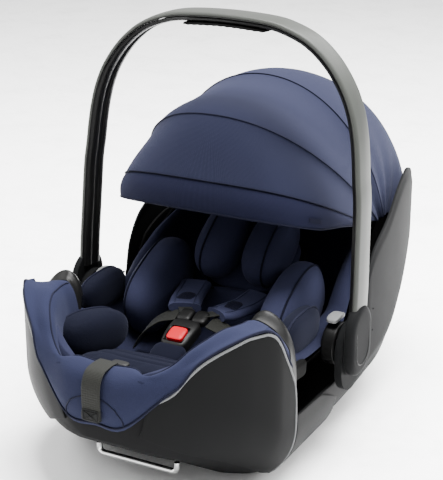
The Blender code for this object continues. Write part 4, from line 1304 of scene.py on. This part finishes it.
class Cover:
    """Cloth-covered front rim with its seams and bindings, and the padded lining of the seat."""

    def __init__(self, shop: Workshop, hull: HullForm, form: CoverForm) -> None:
        """Keep the workshop, the hull's outlines and the sizes."""
        self._shop, self._hull, self._form = shop, hull, form

    def _row(self, y: float) -> list[tuple[float, float]]:
        """The cover's (distance inwards, height) pairs at a place along the hull."""
        edge = smooth(self._hull.crest, y)
        top = max(smooth(self._form.top, y), edge + 0.002)
        reach = smooth(self._form.reach, y)
        bulge = 0.011 * min(1.0, max(0.0, (-0.275 - y) / 0.03))
        return [(0.0015 - bulge, edge + 0.0052 + 0.3 * bulge), (0.004 - bulge, mix(edge, top, 0.4) + 0.004),
                (0.5 * reach, mix(edge, top, 0.85)), (reach, top), (reach + 0.011, top - 0.010),
                (reach + 0.017, top - 0.030), (reach + 0.021, top - 0.056)]

    def build(self) -> None:
        """Make the cover, its seams, the bindings and the lining."""
        self._rim()
        for side, sign in SIDES:
            self._binding(side, sign)
        self._lining()

    def _rim(self) -> None:
        """Padded cover over the rim, round the nose, with its piping and seams."""
        form, shop, hull = self._form, self._shop, self._hull
        right = [[(smooth(hull.plan, y) - d, y, z) for d, z in self._row(y)] for y in form.places]
        left = [[(-x, y, z) for x, y, z in row] for row in reversed(right)]
        first = hull.plan[0][0]
        wide = form.nose_places[0]
        nose = [[(x, first + d, z + 0.003 * (x / wide) ** 2) for d, z in form.nose] for x in form.nose_places]
        net = Net([*right, *nose, *left])
        made = shop.sheet(net.at, (110, 26), form.wall, (0, -0.20, 0.05), bevel=0.003, puff=0.0016)
        shop.finish(made, "rim_cover_padding", COVER, "shell", ["front_rim_cover"])
        piping = shop.sew(made, [net.at(i / 90, 0.03) for i in range(91)], 0.0016)
        shop.finish(piping, "rim_cover_piping", PIPING, "shell")
        seams = [shop.sew(made, [net.at(mix(0.03, 0.97, i / 90), 0.57) for i in range(91)], 0.0010)]
        turns = [math.radians(d) for d in range(0, 181, 9)]
        bib = [(0.046 * math.cos(a), -0.34, 0.124 + 0.040 * math.sin(a)) for a in turns]
        seams.append(shop.sew(made, bib, 0.0009))
        shop.finish(shop.join(seams), "rim_cover_seams", PIPING, "shell")

    def _binding(self, side: str, sign: int) -> None:
        """Black binding rolled over the rear end of the cover."""
        form, hull = self._form, self._hull
        lifted = [(d - 0.0014 if d < 0.03 else d + 0.0004, z + 0.0016) for d, z in self._row(-0.166)]
        lifted = [(lifted[0][0], lifted[0][1] - 0.014), *lifted]
        end = [(mix(d, 0.036, 0.12), mix(z, 0.200, 0.12)) for d, z in form.binding]
        rows = [[(sign * (smooth(hull.plan, y) - d), y, z) for d, z in row]
                for y, row in ((-0.167, lifted), (-0.154, form.binding), (-0.1440, end))]
        made = self._shop.sheet(Net(rows).at, (20, 40), 0.0026, (sign * 0.15, -0.16, 0.15), bevel=0.0008)
        self._shop.finish(made, f"cover_binding_{side}", BLACK, "shell", [f"trim_band_{side}"])

    def _lining(self) -> None:
        """Padded lining of the seat, rolled over at its rim, with a piping on each side."""
        form, hull, shop = self._form, self._hull, self._shop

        def surface(u: float, v: float) -> Point:
            """Place round the lining's section and along it."""
            y = mix(-0.283, 0.337, v)
            low = smooth(hull.seat_floor, y) + 0.009
            high = max(smooth(form.lining_top, y), low + 0.012)
            share = abs(2 * u - 1)
            rise = min(1.0, max(0.0, (share - 0.30) / 0.58)) ** 1.5
            roll = max(0.0, (share - 0.88) / 0.12)
            z = mix(low, high, rise)
            half = hull.face(y, smooth(hull.keel, y) + z - low) - hull.seat_inset - form.lining
            half = half * min(1.0, share / 0.30) + mix(0.018, 0.004, ease(0.04, 0.13, y)) * roll
            return (math.copysign(half, u - 0.5), y, z + 0.004 * math.sin(math.pi * roll) - 0.010 * roll ** 2)

        made = shop.sheet(surface, (72, 72), 0.006, (0, 0.03, 0.30), bevel=0.002)
        shop.finish(made, "seat_lining", LINING_PAINTED_LIGHT, "shell", ["foam_liner"])
        for u, name in ((0.045, "left"), (0.955, "right")):
            piping = shop.sew(made, [surface(u, mix(0.02, 0.98, i / 60)) for i in range(61)], 0.0014)
            shop.finish(piping, f"seat_lining_piping_{name}", PIPING, "shell")


# ---------------------------------------------------------------- cushions
@dataclass(frozen=True)
class Pillow:
    """One stuffed pad.

    Args:
        name: Name of its piece.
        centre: Its middle, in metres.
        half: Its half sizes, in metres.
        tilt: Tilt about X, in degrees.
        turn: Turn about Z, in degrees, after the tilt.
        power: 2 is a ball, and larger is boxier.
        finish: Its cloth.
        body: The body it rides on.
        replaces: CAD nodes that it stands for.
        piping: How far out across the pad its piping lies, or None for no piping.
        cap: Furthest that the air may move a point, in metres.
        voxel: Remesh size, in metres.
        fill: Firmness for the padding record.
    """
    name: str
    centre: Point
    half: Point
    tilt: float = 0.0
    turn: float = 0.0
    power: float = 2.5
    finish: Finish = PADDING_PAINTED_LIGHT
    body: str = "shell"
    replaces: Sequence[str] = ()
    piping: float | None = None
    cap: float = 0.004
    voxel: float = 0.0045
    # fill: Not used.
    fill: float = 0.8

    def mirrored(self, side: str, sign: int) -> "Pillow":
        """This pillow, which is drawn for the right, on one side.

        Args:
            side: Ending of its name and of the nodes that it stands for.
            sign: 1 for the right side, -1 for the left.

        Returns:
            A new pillow.
        """
        x, y, z = self.centre
        return replace(self, name=f"{self.name}_{side}", centre=(sign * x, y, z), turn=sign * self.turn,
                       replaces=tuple(f"{node}_{side}" for node in self.replaces),
                       piping=None if self.piping is None else sign * self.piping)


class Upholstery:
    """The stuffed pads of the seat, each blown up as cloth and then piped or sewn."""

    bolster = Pillow("body_bolster", (0.104, 0.014, 0.168), (0.031, 0.078, 0.050), tilt=24.0, power=2.6,
                     replaces=("side_bolster",), piping=0.42)
    thigh = Pillow("thigh_pad", (0.100, -0.166, 0.166), (0.026, 0.062, 0.030), tilt=-12.0, turn=8.0, power=2.6,
                   finish=SEAT_CLOTH_PAINTED_SHADE, piping=0.35)
    armrest = Pillow("armrest_pad", (0.1500, -0.064, 0.180), (0.0165, 0.050, 0.026), power=2.8,
                     finish=SEAT_CLOTH_PAINTED_SHADE, replaces=("armrest",), piping=0.30, cap=0.002)
    seat = Pillow("seat_pad", (0.0, -0.197, 0.143), (0.088, 0.052, 0.018), tilt=-17.0, power=3.2,
                  finish=SEAT_CLOTH_PAINTED_SHADE, replaces=("seat_cushion",), cap=0.003)
    back = Pillow("back_pad", (0.0, 0.016, 0.128), (0.070, 0.060, 0.014), tilt=33.0, power=3.0,
                  replaces=("back_cushion",))
    crotch = Pillow("crotch_pad", (0.0, -0.143, 0.146), (0.024, 0.018, 0.008), tilt=24.0, power=3.0,
                    finish=SEAT_CLOTH_PAINTED_SHADE, cap=0.002, voxel=0.003)
    channels = (0.062, 0.083, 0.104)

    def __init__(self, shop: Workshop) -> None:
        """Keep the workshop."""
        self._shop = shop

    def build(self) -> None:
        """Make every pad that stays with the shell."""
        for side, sign in SIDES:
            for pillow in (self.bolster, self.thigh, self.armrest):
                self.pad(pillow.mirrored(side, sign))
            self._guide(side, sign)
        seat = self.pad(self.seat)
        for radius in self.channels:
            self._shop.groove(seat, lambda p, r=radius: math.hypot(p.x * 0.80, p.y + 0.112) - r)
        self.pad(self.back)
        self.pad(self.crotch)

    def pad(self, pillow: Pillow) -> Piece:
        """Make one pad and its piping.

        Args:
            pillow: The pad's sizes.

        Returns:
            The pad.
        """
        shop = self._shop
        made = shop.block(pillow.centre, pillow.half, pillow.tilt, pillow.power, 16, pillow.turn)
        made = shop.inflate(made, pillow.voxel, pillow.cap)
        shop.finish(made, pillow.name, pillow.finish, pillow.body, pillow.replaces)
        if pillow.piping is not None:
            frame = (Matrix.Rotation(math.radians(pillow.turn), 3, "Z")
                     @ Matrix.Rotation(math.radians(pillow.tilt), 3, "X"))
            ring = []
            for angle in (2 * math.pi * i / 72 for i in range(73)):
                away = Vector((pillow.piping, math.cos(angle), math.sin(angle)))
                size = sum(abs(c) ** pillow.power for c in away) ** (1 / pillow.power)
                local = Vector([a * b / size for a, b in zip(away, pillow.half)])
                ring.append(Vector(pillow.centre) + frame @ local)
            line = shop.sew(made, ring, 0.0015)
            shop.finish(line, f"{pillow.name}_piping", PIPING, pillow.body)
        return made

    def _guide(self, side: str, sign: int) -> None:
        """Belt guide hook with the loop below it."""
        shop = self._shop
        hook = shop.block((sign * 0.161, -0.108, 0.145), (0.0135, 0.026, 0.012), -8.0, 4.5, 12)
        turns = [2 * math.pi * i / 24 for i in range(25)]
        loop = [(sign * (0.161 + 0.011 * math.sin(a)), -0.130 + 0.015 * math.cos(a),
                 0.128 - 0.0048 * math.cos(a) - 0.008 * math.sin(a / 2)) for a in turns]
        ring = shop.tube(loop, 0.0026, 60)
        shop.finish(shop.join([hook, ring]), f"belt_guide_hook_{side}", MATT_BLACK, "shell",
                    [f"belt_guide_{side}"])


# ---------------------------------------------------------------- headrest
@dataclass(frozen=True)
class HeadrestForm:
    """Middle of the sliding headrest's padding, its slope and its sizes, in metres."""
    centre: Point = (0.0, 0.092, 0.215)
    slope: float = 35.0
    half: float = 0.080
    length: float = 0.104
    depth: float = 0.040
    lobe: float = 0.035


class Headrest:
    """Sliding headrest: shell, head pad, a padded lobe on each side and the pull lever on top."""

    def __init__(self, shop: Workshop, pads: Upholstery, form: HeadrestForm) -> None:
        """Keep the workshop, the maker of pads and the sizes."""
        self._shop, self._pads, self._form = shop, pads, form

    def _at(self, x: float, along: float, out: float) -> Point:
        """Place across the headrest, up its slope and out of it."""
        turned = Matrix.Rotation(math.radians(self._form.slope), 3, "X") @ Vector((x, along, out))
        return tuple(Vector(self._form.centre) + turned)

    def build(self) -> None:
        """Make the headrest."""
        form, shop, slope = self._form, self._shop, self._form.slope
        half, long = form.half - 0.012, form.length / 2
        shell = shop.block(self._at(0, 0, -form.depth), (half, long, 0.003), slope, 5.0)
        shop.finish(shell, "headrest_carrier", TUB, "headrest", ["headrest_shell"])
        pad = Pillow("head_pad", self._at(0, 0, -0.026), (half, long + 0.003, 0.012), tilt=slope, power=3.0,
                     body="headrest", replaces=("headrest_pad",), cap=0.003)
        self._pads.pad(pad)
        lobe = Pillow("head_lobe", self._at(form.lobe + 0.0025, 0, 0.012),
                      (form.lobe - 0.001, long + 0.009, 0.031), tilt=slope, body="headrest",
                      replaces=("headrest_wing",), piping=0.30, cap=0.003)
        for side, sign in SIDES:
            self._pads.pad(lobe.mirrored(side, sign))
        lever = shop.block(self._at(0, long + 0.0105, -form.depth), (0.027, 0.0085, 0.0065), slope, 4.0)
        shop.finish(lever, "headrest_pull", BLACK, "headrest_lever", ["headrest_lever"])


# ---------------------------------------------------------------- harness
@dataclass(frozen=True)
class HarnessForm:
    """Buckle, straps and adjuster, in metres, and the buckle's slope in degrees.

    Tongue is where each tongue's middle lies beside the buckle's own.
    """
    buckle: Point = (0.0, -0.109, 0.158)
    slope: float = 20.0
    half: Point = (0.022, 0.027, 0.010)
    button: float = 0.0125
    nose: float = -0.305
    tongue: float = 0.0114
    webbing: float = 0.026
    thick: float = 0.0018


class Harness:
    """Five-point harness: buckle and tongues, padded shoulder straps, lap straps and the front adjuster."""

    def __init__(self, shop: Workshop, form: HarnessForm) -> None:
        """Keep the workshop and the sizes."""
        self._shop, self._form = shop, form

    def _at(self, x: float, along: float, out: float) -> Vector:
        """Place across the buckle, up its slope and out of it."""
        turned = Matrix.Rotation(math.radians(self._form.slope), 3, "X") @ Vector((x, along, out))
        return Vector(self._form.buckle) + turned

    def build(self) -> None:
        """Make the harness."""
        self._buckle()
        for side, sign in SIDES:
            self._straps(side, sign)
        self._adjuster()

    def _buckle(self) -> None:
        """Housing with the well for its button, the button, both tongues and the strap below."""
        form, shop = self._form, self._shop
        wide, long, deep = form.half
        centre = -0.006

        def place(p: Vector) -> Vector:
            """Place of a point of the unit ball, crowned on top and sunk round the button."""
            x, along = wide * p.x * (0.93 + 0.07 * p.y), long * p.y
            out = deep * p.z
            if p.z > 0:
                well = 1 - ease(form.button + 0.0002, form.button + 0.0016, max(abs(x), abs(along - centre)))
                out += 0.0012 * ease(0.2, 1.0, 1 - abs(p.y)) - 0.0042 * well
            return self._at(x, along, out)

        housing = shop.solid(place, 34, 4.5)
        shop.finish(housing, "buckle_body", BLACK, "shell", ["buckle_housing"], 40)
        half = form.button - 0.0005
        button = shop.block(self._at(0, centre, deep - 0.0012), (half, half, 0.0038), form.slope, 5.0, 14)
        shop.finish(button, "buckle_release", RED, "buckle_button", ["buckle_button"], 40)
        for side, sign in SIDES:
            tongue = shop.block(self._at(sign * form.tongue, long + 0.0115, 0.0), (0.0102, 0.0125, 0.0056),
                                form.slope, 4.0, 10)
            shop.finish(tongue, f"tongue_plate_{side}", BLACK, "shell", [f"buckle_tongue_{side}"], 40)
        low = self._at(0, -long + 0.001, 0)
        drop = [low, low + Vector((0, -0.006, -0.007)), low + Vector((0, -0.007, -0.018))]
        strap = shop.strap(drop, (1, 0, 0), form.webbing, form.thick, 16)
        shop.finish(strap, "crotch_webbing", WEBBING, "shell", ["crotch_strap"])

    def _straps(self, side: str, sign: int) -> None:
        """Padded shoulder strap with its stitching and blank patch, and the webbing on one side."""
        form, shop = self._form, self._shop
        tongue = self._at(sign * form.tongue, 0.048, 0.0)
        run = Track([(sign * 0.024, tongue.y + 0.010, tongue.z - 0.001), (sign * 0.030, -0.044, 0.172),
                     (sign * 0.038, -0.024, 0.172), (sign * 0.045, 0.000, 0.172), (sign * 0.050, 0.026, 0.176)])
        turns = [2 * math.pi * i / 16 for i in range(16)]
        section = [(0.0225 * power_of(math.cos(a), 0.6), 0.0068 * power_of(math.sin(a), 0.8)) for a in turns]
        pad = shop.sweep(run, section, (1, 0, 0), 40)
        shop.finish(pad, f"shoulder_padding_{side}", PADDING_PAINTED_LIGHT, "shell", [f"shoulder_pad_{side}"])
        stitch = []
        for edge in (-0.0165, 0.0165):
            line = [run.at(mix(0.03, 0.97, i / 24)) + Vector((edge, 0, 0.02)) for i in range(25)]
            stitch.append(shop.sew(pad, line, 0.0005))
        shop.finish(shop.join(stitch), f"shoulder_stitching_{side}", COVER, "shell")
        patch = shop.block(run.at(0.45) + Vector((0, -0.0012, 0.0062)), (0.011, 0.016, 0.0012), 4.0, 3.0, 8)
        shop.finish(patch, f"shoulder_patch_{side}", PIPING, "shell")
        rise = [run.at(0.93), (sign * 0.050, 0.036, 0.172), (sign * 0.048, 0.052, 0.160)]
        upper = shop.strap(rise, (1, 0, 0), form.webbing, form.thick, 16)
        lower = shop.strap([tongue + Vector((0, -0.006, 0)), run.at(0.10)], (1, 0, 0), 0.019, form.thick, 8)
        round_hip = [tongue + Vector((sign * 0.0127, -0.008, -0.005)), (sign * 0.050, -0.072, 0.160),
                     (sign * 0.070, -0.080, 0.142), (sign * 0.084, -0.084, 0.116)]
        lap = shop.strap(round_hip, (0, 1, 0.3), 0.024, form.thick, 36)
        shop.finish(shop.join([lap, upper, lower]), f"harness_webbing_{side}", WEBBING, "shell",
                    [f"lap_strap_{side}"])

    def _adjuster(self) -> None:
        """Pull strap over the nose with its stitched end, and the adjuster that it comes out of."""
        form, shop, nose = self._form, self._shop, self._form.nose
        tail = [(0, nose + 0.024, 0.1945), (0, nose + 0.006, 0.1958), (0, nose - 0.010, 0.1925),
                (0, nose - 0.0190, 0.178), (0, nose - 0.0200, 0.152), (0, nose - 0.0180, 0.133)]
        strap = shop.strap(tail, (1, 0, 0), form.webbing, form.thick, 60)
        shop.finish(strap, "adjuster_webbing", WEBBING, "shell", ["adjuster_strap"])
        end = shop.block((0, nose - 0.0192, 0.140), (0.0135, 0.0022, 0.008), -6.0, 6.0, 8)
        corners = ((-1, -1), (1, -1), (1, 1), (-1, 1), (-1, -1), (1, 1), (1, -1), (-1, 1))
        box = [(0.010 * a, nose - 0.0217, 0.140 + 0.0055 * b) for a, b in corners]
        stitches = shop.tube(box, 0.0004, straight=True)
        shop.finish(end, "adjuster_fold", WEBBING, "shell")
        shop.finish(stitches, "adjuster_stitches", PANEL, "shell")
        place = nose + 0.0475
        frame = shop.block((0, place, 0.1655), (0.0225, 0.0085, 0.0070), 0.0, 4.5, 12)
        shop.finish(frame, "adjuster_frame", BLACK, "shell", ["adjuster_housing"])
        button = shop.block((0, place, 0.1795), (0.012, 0.006, 0.003), 0.0, 4.0, 8)
        shop.finish(button, "adjuster_press", DARK_BUTTON, "adjuster_button", ["adjuster_button"])


# ---------------------------------------------------------------- studio
@dataclass(frozen=True)
class Lamp:
    """A soft rectangular light aimed at the seat: place and side in metres, power in watts."""
    name: str
    place: Point
    side: float
    power: float


class Studio:
    """Plain pale floor, bright surroundings, soft lights and the camera."""

    lamps = (Lamp("above", (0.3, 0.3, 2.4), 1.8, 400.0), Lamp("left", (-1.8, -0.6, 1.8), 1.6, 50.0),
             Lamp("right", (2.0, 0.4, 1.7), 1.4, 40.0), Lamp("behind", (0.6, 2.2, 2.0), 1.6, 60.0))
    aim = (0.0, 0.0, 0.22)
    floor = Finish("floor", Kind.SATIN, (0.93, 0.93, 0.93), 0.75, 0.02, 0.00001)
    glow = 0.9
    eye = (0.814, -1.524, 0.887)
    look = (-0.4412, 0.8297, -0.3420)
    lens, sensor = 101.25, 36.0

    def __init__(self, shop: Workshop) -> None:
        """Keep the workshop."""
        self._shop = shop

    def build(self) -> None:
        """Make the floor, world, lights and camera."""
        self._floor()
        self._world()
        for lamp in self.lamps:
            self._light(lamp)
        self._camera()

    def _floor(self) -> None:
        """Plain floor just under the object."""
        bpy.ops.mesh.primitive_plane_add(size=14.0, location=(0, 0, -0.0004))
        plane = bpy.context.object
        bpy.ops.object.transform_apply(location=True)
        plane.name = "studio_floor"
        plane.data.materials.append(self._shop.painter.make(self.floor))

    def _world(self) -> None:
        """White surroundings."""
        world = bpy.data.worlds.new("studio")
        world.use_nodes = True
        background = world.node_tree.nodes["Background"]
        background.inputs["Color"].default_value = (1.0, 1.0, 1.0, 1.0)
        background.inputs["Strength"].default_value = self.glow
        bpy.context.scene.world = world

    def _light(self, lamp: Lamp) -> None:
        """One soft light, aimed at the seat."""
        data = bpy.data.lights.new(lamp.name, "AREA")
        data.size = lamp.side
        data.energy = lamp.power
        light = bpy.data.objects.new(lamp.name, data)
        self._aimed(light, lamp.place, Vector(self.aim) - Vector(lamp.place))

    def _camera(self) -> None:
        """The main view, from the foot end's right and above."""
        data = bpy.data.cameras.new("camera")
        data.lens, data.sensor_width = self.lens, self.sensor
        camera = bpy.data.objects.new("camera", data)
        self._aimed(camera, self.eye, Vector(self.look))
        bpy.context.scene.camera = camera

    @staticmethod
    def _aimed(thing: bpy.types.Object, place: Point, look: Vector) -> None:
        """Put a light or a camera at its place, looking along a direction."""
        thing.location = place
        thing.rotation_euler = look.to_track_quat("-Z", "Y").to_euler()
        bpy.context.scene.collection.objects.link(thing)


def main() -> None:
    """Dress the frame."""
    for old in list(bpy.data.objects):
        bpy.data.objects.remove(old, do_unlink=True)
    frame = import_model()
    shop, hull = Workshop(), HullForm()
    Shell(shop, hull).build()
    Handle(shop, HandleForm()).build()
    Canopy(shop, CanopyForm()).build()
    Cover(shop, hull, CoverForm()).build()
    pads = Upholstery(shop)
    pads.build()
    Headrest(shop, pads, HeadrestForm()).build()
    Harness(shop, HarnessForm()).build()
    Studio(shop).build()


if __name__ == "__main__":
    main()
